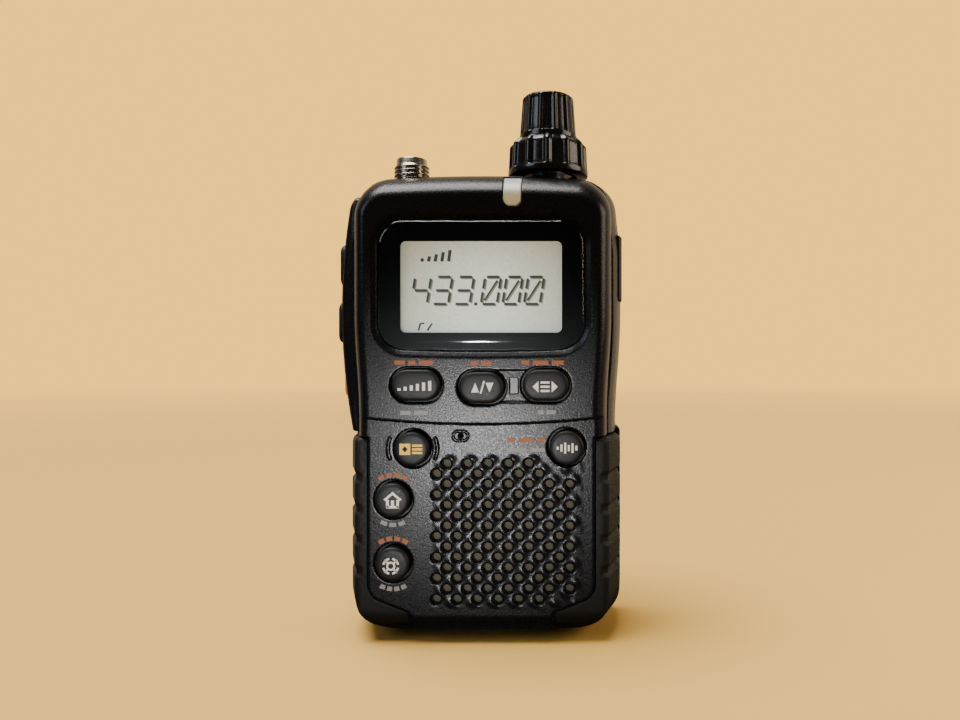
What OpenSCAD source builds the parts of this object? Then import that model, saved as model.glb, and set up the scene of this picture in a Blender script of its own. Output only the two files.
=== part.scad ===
// Ultra-compact handheld transceiver, standing on its base.
// X runs to the right seen from the front, the front panel faces -Y, and Z is up.
// The origin is on the base, in the middle of the case.

/* [Case] */
// Width of the case across its side flanks
body_w = 49; // [48.4:0.2:50]
// Height of the case from its base to the top of its crown
body_h = 81; // [80.6:0.2:82]
// Thickness of the moulded walls
wall = 1.4; // [1.2:0.1:1.5]
// Depth of the scallops in the side grips
scallop_depth = 0.5; // [0.3:0.1:0.8]

/* [Display] */
// Width of the display window
window_w = 34.8; // [34:0.2:35.4]
// Height of the display window
window_h = 22.2; // [21.6:0.2:22.6]
// Width of the visible liquid crystal area
lcd_w = 27.2; // [25:0.2:28]
// Height of the visible liquid crystal area
lcd_h = 15.4; // [14:0.2:16]

/* [Keys] */
// Length of an oblong key
pill_w = 8.2; // [8:0.1:8.4]
// Height of an oblong key
pill_h = 5.3; // [4.8:0.1:5.5]
// Diameter of a round key
round_d = 5.8; // [5.2:0.2:6]
// Gap between a key and its well
key_gap = 0.35; // [0.25:0.05:0.4]
// Travel of a front key
key_travel = 0.5; // [0.3:0.1:0.5]

/* [Speaker] */
// Diameter of one hole of the speaker grille
hole_d = 1.5; // [1.2:0.1:1.7]
// Distance between two holes of a row
hole_pitch = 3.46; // [3.4:0.02:3.5]

/* [Dial] */
// Diameter of the fluted skirt of the dial
skirt_d = 14.5; // [13.6:0.1:14.8]
// Diameter of the cap of the dial at its foot
cap_d = 10.3; // [9.4:0.1:10.8]
// Height of the whole dial
dial_h = 14.6; // [14:0.1:16]
// Number of flutes on the skirt and on the cap
flutes = 12; // [8:2:16]

/* [Antenna] */
// Outside diameter of the thread of the antenna jack
thread_d = 6.35; // [6.1:0.05:6.4]
// Height of the thread above the crown of the case
thread_h = 3.4; // [3:0.1:5]

/* [Battery] */
// Width of the battery pack
battery_w = 32; // [30:0.5:32.4]
// Height of the battery pack
battery_h = 53; // [48:0.5:54]
// Thickness of the battery pack
battery_t = 5.8; // [5:0.1:5.9]

/* [Hidden] */
$fn = 48;
HULL_FN = 32;

// Depths, measured from the middle of the case, with the front at -Y
front_y = -10.6;
grille_y = -9.8;
seam_y = -4.6;
seam_gap = 0.2;
back_y = 11.4;
lip_y = -8.2;
grip_front_y = -9.4;
grip_back_y = 3;
board_y = -5.6;
board_t = 0.8;
bay_y = 3.2;
cover_in_y = 10.2;

// Widths and heights of the case
half_w = body_w / 2;
front_half_w = half_w - 2.3;
core_half_w = half_w - 3.1;
lip_half_w = half_w - 5.3;
skirt_half_w = 11.9;
core_low = 2.6;
lip_low = 5.2;
grip_top = 35;
panel_low = 37.2;
panel_corner = 5.5;
crown = 0.5;
top_corner = 6;
rear_corner = 4.5;

// Display window and its place
window_z = 60.7;
lcd_z = 60.4;
lens_seat_y = -9.7;
mask_t = 0.2;

// Keys: X, Z of each centre, how much shorter the key is, and depths of tops, flanges and stems
pill_keys = [[-10.8, 43.9, 0], [0.15, 43.5, 0.6], [10.9, 43.9, 0.4]];
round_keys = [[-11.5, 33.2], [14.4, 33.4], [-14.8, 24.6], [-14.8, 13.9]];
pill_top_y = -11.3;
round_top_y = -11.0;
pill_flange_y = -9.1;
round_flange_y = -8.3;
flange_t = 0.4;
flange_rim = 0.65;
stem_r = 1.2;
stem_end_y = -6.35;
mat_y = -7.1;
mat_t = 0.6;
port = [5.55, 43.8];
port_w = 1.3;
port_h = 2.7;
vent = [-3.5, 35.3];

// Status indicator
status_x = 5.25;
status_w = 3;
status_low = 74;
status_top = 78.9;

// Speaker grille and driver
grille_x = -5.87;
grille_top = 30.6;
speaker = [3.6, 19.2];
speaker_r = 12;
magnet_r = 7;

// Dial and antenna jack
dial_x = 11.1;
jack_x = -13.6;
tip_d = 5.5;
tip_h = 1.3;
shaft_r = 1.5;
run_gap = 0.05;
skirt_h = 6.7;
dial_foot = body_h + 0.05;
dial_top = body_h + dial_h;
cap_foot = dial_foot + skirt_h;

// Side platform with the side keys, on the left
platform_x = -26.2;
platform_z = 57;
platform_r = 102;
platform_low = 37;
platform_top = 75.6;
side_keys = [[65.2, 7.6, 0.7, 0.8], [54.9, 7.4, 0.7, 0.5], [43.9, 5, 0.4, 0.5]];
side_key_w = 5.4;
side_key_y = 2;
side_inner_x = -22.8;

// Side jacks and their cover, on the right
cover_low = 59;
cover_top = 70.4;
cover_front = -1.6;
cover_back = 5.4;
cover_x = half_w + 0.2;
cover_t = 1.6;
cover_pin = [cover_x - 0.8, cover_back + 0.1];
audio_z = 67.2;
charging_z = 62;
jack_y = 1.9;
plug_r = 1.8;

// Battery bay, its cover, and the hinge of the cover
bay_half_w = 16.4;
bay_low = 3.2;
bay_top = 59.6;
cover_half_w = 17;
cover_bottom = 1.9;
hinge_z = 60.6;
hinge_y = 10.6;
barrel_r = 0.8;
pin_r = 0.5;
latch_w = 10;
latch_z = 4.6;

// Strap post: X, Y of its axis
strap = [-21.4, 8.9];
strap_low = 66;

// Case screws: X, Z of each
screws = [[-18.9, 8.2], [18.9, 8.2], [-17.6, 73.6], [17.6, 73.6]];
screw_r = 0.95;
pilot_r = 1;
boss_r = 1.8;
head_r = 1.5;

// ---------- shapes that repeat ----------

// Points of an arc about (cx, cz)
function arc_points(cx, cz, r, from, to, n = 8) =
  [for (i = [0:n]) let (a = from + (to - from) * i / n) [cx + r * cos(a), cz + r * sin(a)]];

// Points between (x0, z) and (x1, z) that bulge by bow in the middle
function bowed(x0, x1, z, bow, n = 8) =
  [for (i = [1:n - 1]) let (t = i / n) [x0 + (x1 - x0) * t, z + 4 * bow * t * (1 - t)]];

// Convex outline of the case: half width, top, bottom, top and bottom corner radii, and bows
function outline(hw, top, low, rt, rl, bow_top = 0, bow_low = 0) = concat(
  arc_points(hw - rt, top - bow_top - rt, rt, 0, 90),
  bowed(hw - rt, rt - hw, top - bow_top, bow_top),
  arc_points(rt - hw, top - bow_top - rt, rt, 90, 180),
  arc_points(rl - hw, low + bow_low + rl, rl, 180, 270),
  bowed(rl - hw, hw - rl, low + bow_low, -bow_low),
  arc_points(hw - rl, low + bow_low + rl, rl, 270, 360)
);

// Extrudes an X-Z shape along Y, from y0 to y1
module slab(y0, y1)
  translate([0, y1, 0]) rotate([90, 0, 0]) linear_extrude(y1 - y0) children();

// Round bar along Y
module bar_y(x, z, r, y0, y1)
  translate([x, y1, z]) rotate([90, 0, 0]) cylinder(r = r, h = y1 - y0);

// Round bar along X
module bar_x(y, z, r, x0, x1)
  translate([x0, y, z]) rotate([0, 90, 0]) cylinder(r = r, h = x1 - x0);

// Block given by its lowest and highest corners
module block(low, high)
  translate(low) cube(high - low);

// Flat oblong with round ends
module pill(w, h) {
  square([w - h, h], center = true);
  for (side = [-1, 1]) translate([side * (w - h) / 2, 0]) circle(d = h);
}

// Flat rectangle with round corners
module round_rect(w, h, r) {
  square([w - 2 * r, h], center = true);
  square([w, h - 2 * r], center = true);
  for (sx = [-1, 1], sz = [-1, 1])
    translate([sx * (w / 2 - r), sz * (h / 2 - r)]) circle(r = r);
}

// Hull of thin slabs, one for each [y, outline]
module loft(stations)
  hull() for (s = stations) slab(s[0], s[0] + 0.02) polygon(s[1]);

// ---------- case forms ----------

// Lower core of the case, inside the grips: half width, height of its shoulders, top and corner cut
module core_2d(hw, low, high = 44, cut = 0) {
  shoulder = [hw - 1.2, low + 1.6];
  right = [
    [skirt_half_w, 0], [skirt_half_w, low], shoulder, [hw, 9], [hw, high - cut], [hw - cut, high]
  ];
  left = [for (i = [len(right) - 1:-1:0]) [-right[i][0], right[i][1]]];
  polygon(concat(right, left));
}

// Raised upper panel, rounded towards the top and the sides, inset by the wall for the cavity
module upper_form(inset = 0) {
  low = panel_low + inset;
  stations = [
    [front_y, 2.7, 3.4], [front_y + 0.35, 1.8, 2.3], [front_y + 1.2, 1.1, 1.6],
    [front_y + 2.6, 0.6, 1.1], [front_y + 4.6, 0.2, 0.6], [seam_y - seam_gap / 2 - 0.02, 0, 0.35]
  ];
  loft([for (s = stations) [
    s[0] + inset,
    outline(front_half_w - s[1] - inset, body_h - s[2] - inset, low, top_corner - s[1] / 2,
            panel_corner, crown, 1.1)
  ]]);
}

// Case below the grips' tops: the base is flat at the back and rises towards the front
module base_form(inset = 0)
  translate([-half_w - 1, 0, 0]) rotate([90, 0, 90]) linear_extrude(body_w + 2) polygon([
    [back_y, inset], [-2, inset], [-5, 1 + inset], [inset / 2 - 8, 2.5 + inset],
    [grille_y + inset, 4.4 + inset], [grille_y + inset, 45], [back_y, 45]
  ]);

// Space between the flanks, which spread towards the back: half widths at lip_y and at -5
module flanks(at_lip, at_back, front)
  linear_extrude(60) polygon([
    [-at_lip, front], [at_lip, front], [at_lip, lip_y], [at_back, -5], [at_back, back_y],
    [-at_back, back_y], [-at_back, -5], [-at_lip, lip_y]
  ]);

// Lower front, inset by the wall for the cavity
module lower_form(inset = 0) {
  end_y = seam_y - seam_gap / 2 + inset;
  intersection() {
    base_form(inset);
    union() {
      slab(grille_y - 1, lip_y + inset) core_2d(lip_half_w - inset, lip_low + inset, panel_low + 2, 4.2);
      intersection() {
        slab(lip_y + inset, end_y) core_2d(core_half_w - inset, core_low + inset);
        flanks(core_half_w - 1.2 - inset, core_half_w - inset, lip_y - 1);
      }
    }
  }
}

// Rear of the case: [y, half width less this, top less this]
module rear_form() {
  loft([for (s = [[seam_y + seam_gap / 2, 1.9, 0.35], [-2, 0.9, 0.15], [1.4, 0.1, 0], [5, 0, 0],
                  [9, 0.9, 0.5], [10.8, 2.1, 1.6], [back_y - 0.02, 3.2, 2.6]])
    [s[0], concat(
      arc_points(half_w - s[1] - 1.4 - rear_corner, body_h - s[2] - crown - rear_corner, rear_corner, 10, 90),
      bowed(half_w - rear_corner - 1.4 - s[1], rear_corner + 1.4 - half_w + s[1], body_h - s[2] - crown, crown),
      arc_points(rear_corner + 1.4 + s[1] - half_w, body_h - s[2] - crown - rear_corner, rear_corner, 90, 170),
      [[s[1] - half_w, 66], [s[1] - half_w, 55], [s[1] + 1 - half_w, 36], [s[1] + 1 - half_w, grip_top + 0.05],
       [half_w - s[1] - 1, grip_top + 0.05], [half_w - s[1] - 1, 36], [half_w - s[1], 55], [half_w - s[1], 66]]
    )]]);
  intersection() {
    slab(seam_y + seam_gap / 2, grip_back_y) core_2d(core_half_w, core_low);
    base_form();
  }
  loft([for (s = [[grip_back_y, 0.1, 0], [7, 0.3, 0], [9.6, 1.2, 0.4], [10.8, 2.2, 1.2], [back_y - 0.02, 3.2, 2.2]])
    [s[0], outline(half_w - s[1], grip_top + 1, s[2], 2, 8 - s[1])]]);
}

// Raised platform that carries the side keys, bowed outwards
module side_platform()
  intersection() {
    slab(side_key_y - 4.4, side_key_y + 4.4) polygon(concat(
      arc_points(platform_x + platform_r, platform_z, platform_r, 170.2, 192.2, 12),
      [[-21, 35.5], [-21, 77.2], [-23, 77.2]]
    ));
    linear_extrude(90) polygon([
      [-21, side_key_y - 4.4], [-23.8, side_key_y - 4.4], [platform_x, side_key_y - 3.5],
      [platform_x, side_key_y + 3.5], [-23.8, side_key_y + 4.4], [-21, side_key_y + 4.4]
    ]);
  }

// X of the platform's surface at a height
function platform_at(z) = platform_x + platform_r - sqrt(platform_r * platform_r - pow(z - platform_z, 2));

// Well of one side key, or the key itself with a gap of 0
module side_key_shape(k, x0, x1, gap)
  translate([x0, side_key_y, k[0]]) rotate([90, 0, 90]) linear_extrude(x1 - x0)
    round_rect(side_key_w + 2 * gap, k[1] + 2 * gap, 1.6);

// Place of every hole in the speaker grille
function grille_holes() = [
  for (row = [0:13])
    let (shifted = row % 2, count = row == 0 ? 5 : row == 1 || row == 13 ? 6 : 7)
      for (i = [0:count - 1])
        [grille_x + (i - shifted / 2) * hole_pitch, grille_top - row * hole_pitch * 0.51]
];

// Bullet shape of the status indicator
module status_2d(gap = 0) {
  r = status_w / 2 + gap;
  translate([status_x - r, status_low + r]) square([2 * r, status_top - status_low - r]);
  translate([status_x, status_low + r]) circle(r = r);
}

// ---------- front and rear of the case ----------

module front_case() color([0.09, 0.09, 0.1])
  difference() {
    union() {
      difference() {
        union() {
          upper_form();
          lower_form();
        }
        difference() {
          upper_form(wall);
          // frame that backs the lens seat
          slab(-10, -9) translate([0, window_z]) round_rect(window_w + 3.4, window_h + 2.2, 5.5);
        }
        lower_form(wall);
        slab(-8.6, seam_y) translate([0, 40]) square([28, 14], center = true);
      }
      intersection() {
        for (s = screws) bar_y(s[0], s[1], boss_r, -8.7, seam_y - seam_gap / 2);
        union() {
          upper_form();
          lower_form();
        }
      }
    }
    for (k = round_keys) bar_y(k[0], k[1], round_d / 2 + flange_rim + 0.2, grille_y + wall, -6);
    slab(front_y - 1, lens_seat_y) translate([0, window_z]) round_rect(window_w, window_h, 5);
    slab(front_y, -8) translate([0, lcd_z]) round_rect(lcd_w + 1, lcd_h + 1, 1);
    for (k = pill_keys)
      slab(front_y - 1, -8) translate([k[0], k[1]]) pill(pill_w - k[2] + 2 * key_gap, pill_h + 2 * key_gap);
    slab(front_y - 1, front_y + 0.7) translate([port[0], port[1] - 0.1])
      square([7, pill_h + 2 * key_gap - 0.6], center = true);
    slab(front_y - 1, -8) translate(port) square([port_w, port_h], center = true);
    for (k = round_keys) bar_y(k[0], k[1], round_d / 2 + key_gap, front_y - 1, -7.9);
    for (h = grille_holes()) bar_y(h[0], h[1], hole_d / 2, front_y - 1, -8);
    bar_y(vent[0], vent[1], 0.4, front_y - 1, -8);
    slab(front_y - 2, -5.5) status_2d(0.04);
    for (s = screws) bar_y(s[0], s[1], pilot_r, -7.1, seam_y);
  }

module rear_case() color([0.12, 0.12, 0.12])
  difference() {
    union() {
      difference() {
        union() {
          rear_form();
          side_platform();
        }
        // main cavity, beside the boards
        slab(seam_y, 2) difference() {
          core_2d(core_half_w - wall, core_low + wall);
          square([body_w, 5], center = true);
        }
        slab(seam_y, 2) translate([0, 46]) square([2 * (front_half_w - wall - 0.4), 32], center = true);
        // upper cavity, for the encoder and the antenna jack
        slab(seam_y, back_y - 1.6) translate([0, 70.2]) round_rect(2 * (front_half_w - wall - 1), 18, 3);
        slab(bay_y, back_y + 1) translate([0, (bay_low + bay_top) / 2])
          round_rect(2 * bay_half_w, bay_top - bay_low, 2);
      }
      for (s = screws) bar_y(s[0], s[1], boss_r, seam_y + seam_gap / 2, back_y - 2);
    }
    // seat of the battery cover
    slab(cover_in_y - 0.1, back_y + 1) translate([0, (cover_bottom + hinge_z) / 2 - 0.1])
      round_rect(2 * cover_half_w + 0.4, hinge_z - cover_bottom + 0.3, 2.4);
    slab(hinge_y - 0.1, back_y + 1) translate([0, hinge_z]) square([2 * cover_half_w + 0.4, 2.8], center = true);
    bar_x(hinge_y, hinge_z, barrel_r + 0.1, -cover_half_w - 0.2, cover_half_w + 0.2);
    bar_x(hinge_y, hinge_z, pin_r + run_gap, -cover_half_w - 1.4, cover_half_w + 1.4);
    slab(cover_in_y - 1.2, back_y + 1) translate([0, latch_z - 2.2]) square([latch_w - 2, 4], center = true);
    for (s = screws) {
      bar_y(s[0], s[1], pilot_r + 0.1, seam_y, back_y + 1);
      bar_y(s[0], s[1], head_r + 0.1, 8.6, back_y + 1);
    }
    for (k = side_keys) side_key_shape(k, platform_x - 1, -20, key_gap / 2);
    block([side_inner_x, side_key_y - 3.6, platform_low + 2], [-19, side_key_y + 3.6, platform_top - 4.6]);
    // antenna jack and encoder bushing in the top wall
    translate([jack_x, 0, 76]) cylinder(d = thread_d + 0.1, h = 8);
    translate([dial_x, 0, 76]) cylinder(r = 3.05, h = 8);
    // seat of the jack cover, its hinge and the holes behind it
    block([cover_x - cover_t - 0.1, cover_front - 0.1, cover_low - 0.1],
          [half_w + 2, cover_back + 1.1, cover_top + 0.1]);
    translate([cover_pin[0], cover_pin[1], cover_low - 1.2])
      cylinder(r = 0.4 + run_gap, h = cover_top - cover_low + 2.4);
    bar_x(jack_y, audio_z, 2.6, 8.5, half_w + 1);
    bar_x(jack_y, charging_z, 2.4, 12.5, half_w + 1);
    // strap recess in the upper left corner of the back, with the sockets of its post
    block([-half_w - 1, 6.6, strap_low], [-19.6, back_y + 1, strap_low + 6]);
    translate([strap[0], strap[1], strap_low - 0.8]) cylinder(r = 0.82, h = 7.6);
  }

module case_gasket() color([0.25, 0.25, 0.27])
  slab(seam_y - seam_gap / 2, seam_y + seam_gap / 2) difference() {
    union() {
      polygon(outline(front_half_w - 0.4, body_h - 0.8, 34, top_corner, 2, crown));
      core_2d(core_half_w - 0.4, core_low + 0.7);
    }
    union() {
      polygon(outline(front_half_w - 1.1, body_h - 1.5, 36, top_corner - 0.8, 1.5, crown));
      core_2d(core_half_w - 1.1, core_low + 1.5);
      for (s = screws) translate(s) circle(r = pilot_r);
    }
  }

// Outer edge of a grip: straight with scallops, then round into the base
function scallop(z) = let (t = (z - 28.3) / 5.3, off = abs(t - round(t)) * 5.3)
  z < 10 || z > 30 || off > 0.9 ? 0 : scallop_depth * (1 + cos(off / 0.9 * 180)) / 2;

module grip_right() color([0.07, 0.07, 0.07])
  difference() {
    intersection() {
      slab(grip_front_y, grip_back_y - 0.05) polygon(concat(
        arc_points(half_w - 1.6, grip_top - 1.5, 1.5, 90, 0, 5),
        [for (z = [30.2:-0.3:9.5]) [half_w - 0.1 - scallop(z), z]],
        [for (a = [0:10:80]) [half_w - 10.1 + 10 * cos(a), 8.1 - 8 * sin(a)]],
        [[skirt_half_w + 0.05, 0.1], [skirt_half_w + 0.05, 9], [lip_half_w - 1, 9], [lip_half_w - 1, grip_top]]
      ));
      base_form(0.1);
      linear_extrude(60) polygon([
        [0, grip_front_y], [20.6, grip_front_y], [21.7, lip_y], [half_w, 0], [half_w, back_y], [0, back_y]
      ]);
    }
    slab(grip_front_y - 1, lip_y - 0.05) core_2d(lip_half_w + 0.05, lip_low - 0.05);
    intersection() {
      slab(lip_y - 0.06, grip_back_y) core_2d(core_half_w + 0.05, core_low - 0.05);
      flanks(core_half_w - 1.15, core_half_w + 0.05, lip_y - 1);
    }
  }

module grip_left() mirror([1, 0, 0]) grip_right();

module case_screws() color("silver")
  for (s = screws) difference() {
    union() {
      bar_y(s[0], s[1], screw_r, -6.9, 8.8);
      bar_y(s[0], s[1], head_r, 8.7, 9.9);
    }
    for (turn = [0, 90])
      translate([s[0], 9.9, s[1]]) rotate([0, turn, 0]) cube([2, 1.2, 0.4], center = true);
  }

// ---------- display ----------

module display_lens() color([0.6, 0.65, 0.65, 0.4]) {
  slab(-10.7, lens_seat_y - mask_t) translate([0, window_z]) round_rect(window_w - 0.1, window_h - 0.1, 4.95);
  slab(-11, -10.7) translate([0, window_z]) round_rect(window_w - 0.8, window_h - 0.8, 4.6);
  slab(-11.2, -11) translate([0, window_z]) round_rect(window_w - 2.4, window_h - 2.4, 3.8);
}

module lens_mask() color([0.02, 0.02, 0.02])
  slab(lens_seat_y - mask_t, lens_seat_y) difference() {
    translate([0, window_z]) round_rect(window_w - 0.4, window_h - 0.4, 4.8);
    translate([0, lcd_z]) round_rect(lcd_w, lcd_h, 0.9);
  }

module lcd_glass() color([0.7, 0.74, 0.7])
  slab(-8.9, -7.5) translate([0, lcd_z]) square([31, 19.4], center = true);

module lcd_backlight() color("white")
  slab(-7.5, -6.7) translate([0, lcd_z + 1]) square([29, 16], center = true);

module lcd_holder() color([0.85, 0.85, 0.82])
  slab(-8.85, board_y) translate([0, lcd_z]) difference() {
    square([34, 21.6], center = true);
    square([31.2, 19.6], center = true);
  }

module lcd_connector() color([0.85, 0.45, 0.5])
  slab(-7.5, board_y) translate([0, lcd_z - 8.6]) square([28, 1.4], center = true);

// ---------- indicator, microphone and speaker ----------

module status_lens() color([0.85, 0.85, 0.75])
  intersection() {
    upper_form();
    slab(front_y - 1, -6.2) status_2d();
  }

module status_led() color("white")
  slab(-6.1, board_y) translate([status_x, 76]) square([1.6, 1.2], center = true);

module microphone_screen() color([0.8, 0.8, 0.82])
  slab(-9.9, -9.4) translate(port) square([port_w - 0.1, port_h - 0.1], center = true);

module microphone() color("silver")
  slab(-9.1, -8) translate(port) square([1.4, 2.8], center = true);

module speaker_cloth() color([0.35, 0.35, 0.3])
  slab(-8.35, -8.15) difference() {
    intersection() {
      translate([3.3, 19.2]) square([27, 24.8], center = true);
      core_2d(lip_half_w - wall - 0.1, lip_low + wall + 0.1);
    }
    for (k = [round_keys[0], round_keys[1]]) translate(k) circle(r = round_d / 2 + flange_rim + 0.5);
  }

module speaker_frame() color([0.4, 0.42, 0.42])
  difference() {
    bar_y(speaker[0], speaker[1], speaker_r - 0.1, -8.1, -5.9);
    bar_y(speaker[0], speaker[1], speaker_r - 1, -9, -6.4);
    bar_y(speaker[0], speaker[1], magnet_r + 0.1, -9, -5);
  }

module speaker_cone() color([0.15, 0.15, 0.15])
  difference() {
    bar_y(speaker[0], speaker[1], speaker_r - 1.2, -7.7, -7.3);
    bar_y(speaker[0], speaker[1], 3, -7.55, -7.2);
  }

module speaker_magnet() color("silver")
  bar_y(speaker[0], speaker[1], magnet_r, -6.9, -3.2);

// ---------- boards ----------

module key_mat() color([0.3, 0.3, 0.3])
  slab(mat_y, mat_y + mat_t) difference() {
    union() {
      translate([0, 44.5]) square([32, 8], center = true);
      translate([0, 37.5]) square([27, 8], center = true);
      translate([0, 33.4]) square([34.4, 4], center = true);
      translate([-13.5, 22.2]) square([7.4, 24], center = true);
    }
    for (k = concat(pill_keys, round_keys)) translate([k[0], k[1]]) circle(r = stem_r + 0.4);
  }

module key_domes() color([0.8, 0.75, 0.6])
  for (k = concat(pill_keys, round_keys)) bar_y(k[0], k[1], 2, board_y - 0.15, board_y);

module main_board() color([0.1, 0.35, 0.2])
  slab(board_y, board_y + board_t) difference() {
    translate([0, 41.25]) square([37.8, 68.5], center = true);
    translate(speaker) circle(r = magnet_r + 0.5);
    for (s = screws) translate(s) circle(r = boss_r + 0.3);
  }

module radio_board() color([0.12, 0.3, 0.2])
  slab(-1.4, -0.6) translate([0, 43.5]) square([36, 40], center = true);

module shield_can() color("silver")
  difference() {
    slab(-0.6, 1.6) translate([0, 43]) square([32, 30], center = true);
    slab(-0.6, 1.3) translate([0, 43]) square([31.4, 29.4], center = true);
  }

module board_connector() color([0.9, 0.88, 0.8])
  slab(board_y + board_t, -1.4) translate([-8, 58]) square([14, 3], center = true);

module side_switch_board() color([0.1, 0.35, 0.2])
  block([-20.1, side_key_y - 3.3, 40], [-19.6, side_key_y + 2.9, 69.5]);

module side_switches() color([0.25, 0.25, 0.25])
  for (k = side_keys) block([-20.9, side_key_y - 2, k[0] - 1.6], [-20.1, side_key_y + 2, k[0] + 1.6]);

// ---------- antenna jack, dial and side jacks ----------

module antenna_jack() color([0.75, 0.7, 0.55])
  difference() {
    union() {
      translate([jack_x, 0, body_h]) cylinder(d = thread_d, h = thread_h - tip_h);
      translate([jack_x, 0, 76.4]) cylinder(d = tip_d, h = body_h + thread_h - 76.4);
      translate([jack_x, 0, 77.4]) cylinder(r = 4, h = 1.2);
    }
    translate([jack_x, 0, 76]) cylinder(r = 2.3, h = 20);
  }

module antenna_insulator() color("white")
  difference() {
    translate([jack_x, 0, 76.4]) cylinder(r = 2.28, h = body_h + thread_h - 78.3);
    translate([jack_x, 0, 76]) cylinder(r = 0.68, h = 20);
  }

module antenna_contact() color("gold")
  difference() {
    translate([jack_x, 0, 74.6]) cylinder(r = 0.66, h = body_h + thread_h - 76.5);
    translate([jack_x, 0, body_h + thread_h - 5]) cylinder(r = 0.46, h = 5);
  }

module antenna_washer() color("silver")
  difference() {
    translate([jack_x, 0, 78.6]) cylinder(r = 4, h = 0.5);
    translate([jack_x, 0, 78]) cylinder(d = tip_d + 0.1, h = 2);
  }

module encoder_body() color([0.5, 0.5, 0.5])
  difference() {
    union() {
      block([dial_x - 4.4, -4, 72.6], [dial_x + 4.4, 5, 79]);
      translate([dial_x, 0, 78.9]) cylinder(r = 3, h = 4.7);
    }
    translate([dial_x, 0, 74]) cylinder(r = shaft_r + run_gap, h = 20);
  }

module encoder_nut() color("silver")
  difference() {
    translate([dial_x, 0, body_h + 0.35]) cylinder(r = 4.4, h = 1.4, $fn = 6);
    translate([dial_x, 0, body_h]) cylinder(r = 3.02, h = 4);
  }

module encoder_shaft() color("silver")
  translate([dial_x, 0, 74.4]) cylinder(r = shaft_r, h = dial_top - 3 - 74.4);

// Upright grooves spaced around the dial: radius of the groove, distance from the axis, height
module dial_grooves(r, distance, low, h)
  for (i = [0:flutes - 1]) rotate([0, 0, i * 360 / flutes + 360 / flutes / 2])
    translate([distance, 0, low]) cylinder(r = r, h = h);

module dial_skirt() color([0.03, 0.03, 0.03])
  translate([dial_x, 0, 0]) difference() {
    union() {
      translate([0, 0, dial_foot]) cylinder(d1 = skirt_d, d2 = skirt_d - 0.6, h = skirt_h - 1.2);
      translate([0, 0, cap_foot - 1.2]) cylinder(d1 = skirt_d - 0.6, d2 = skirt_d - 2.4, h = 1.2);
    }
    dial_grooves(0.55, skirt_d / 2 + 0.05, dial_foot + 0.9, skirt_h);
    translate([0, 0, dial_foot - 1]) cylinder(r = 5.2, h = 3.4);
    translate([0, 0, dial_foot]) cylinder(r = 3.3, h = skirt_h + 1);
  }

module dial_cap() color([0.03, 0.03, 0.03])
  translate([dial_x, 0, 0]) difference() {
    union() {
      translate([0, 0, cap_foot]) cylinder(d1 = cap_d, d2 = cap_d - 1.1, h = dial_top - cap_foot - 0.7);
      translate([0, 0, dial_top - 0.7]) cylinder(d1 = cap_d - 1.1, d2 = cap_d - 2.3, h = 0.7);
      translate([0, 0, cap_foot - 3.2]) cylinder(r = 3.28, h = 3.4);
    }
    dial_grooves(0.5, cap_d / 2 + 0.05, cap_foot + 0.8, dial_h);
    translate([0, 0, cap_foot - 4]) cylinder(r = shaft_r + 0.01, h = dial_top - 2.9 - cap_foot + 4);
  }

module audio_jack() color([0.1, 0.1, 0.1])
  difference() {
    bar_x(jack_y, audio_z, 2.5, 9, cover_x - cover_t - 0.5);
    bar_x(jack_y, audio_z, plug_r, 10, half_w);
  }

module charging_jack() color([0.1, 0.1, 0.1]) {
  difference() {
    bar_x(jack_y, charging_z, 2.3, 13, cover_x - cover_t - 0.5);
    bar_x(jack_y, charging_z, 1.95, 14, half_w);
  }
  bar_x(jack_y, charging_z, 0.6, 13.5, cover_x - cover_t - 1.5);
}

module strap_post() color("silver")
  translate([strap[0], strap[1], strap_low - 0.8]) cylinder(r = 0.8, h = 7.6);

// ---------- battery ----------

module battery_pack() color([0.2, 0.2, 0.25])
  block([-battery_w / 2, cover_in_y - 1 - battery_t, bay_low + 1.6],
        [battery_w / 2, cover_in_y - 1, bay_low + 1.6 + battery_h]);

module battery_contacts() color("gold")
  for (x = [-9, -5, -1]) block([x, 5, bay_low], [x + 1.8, 8, bay_low + 1.5]);

module cover_gasket() color([0.2, 0.2, 0.2])
  slab(cover_in_y - 0.09, cover_in_y - 0.01) translate([0, (bay_low + bay_top) / 2]) difference() {
    round_rect(2 * bay_half_w + 1.4, bay_top - bay_low + 0.6, 2.3);
    round_rect(2 * bay_half_w + 0.2, bay_top - bay_low - 0.4, 2);
  }

module battery_cover() color([0.1, 0.1, 0.1])
  difference() {
    union() {
      slab(cover_in_y, back_y) translate([0, (cover_bottom + hinge_z) / 2])
        round_rect(2 * cover_half_w, hinge_z - cover_bottom, 2.2);
      bar_x(hinge_y, hinge_z, barrel_r, -cover_half_w, cover_half_w);
      bar_x(hinge_y, hinge_z, pin_r, -cover_half_w - 1.1, cover_half_w + 1.1);
    }
    // grip grooves
    for (z = [14:5:54]) slab(back_y - 0.4, back_y + 1) translate([0, z]) pill(26, 1.6);
    // slot of the latch
    slab(cover_in_y - 1, back_y + 1) translate([0, latch_z + 0.6]) square([latch_w - 3, 3.6], center = true);
    slab(back_y - 0.5, back_y + 1) translate([0, latch_z + 0.6]) square([latch_w + 0.4, 5], center = true);
  }

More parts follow.
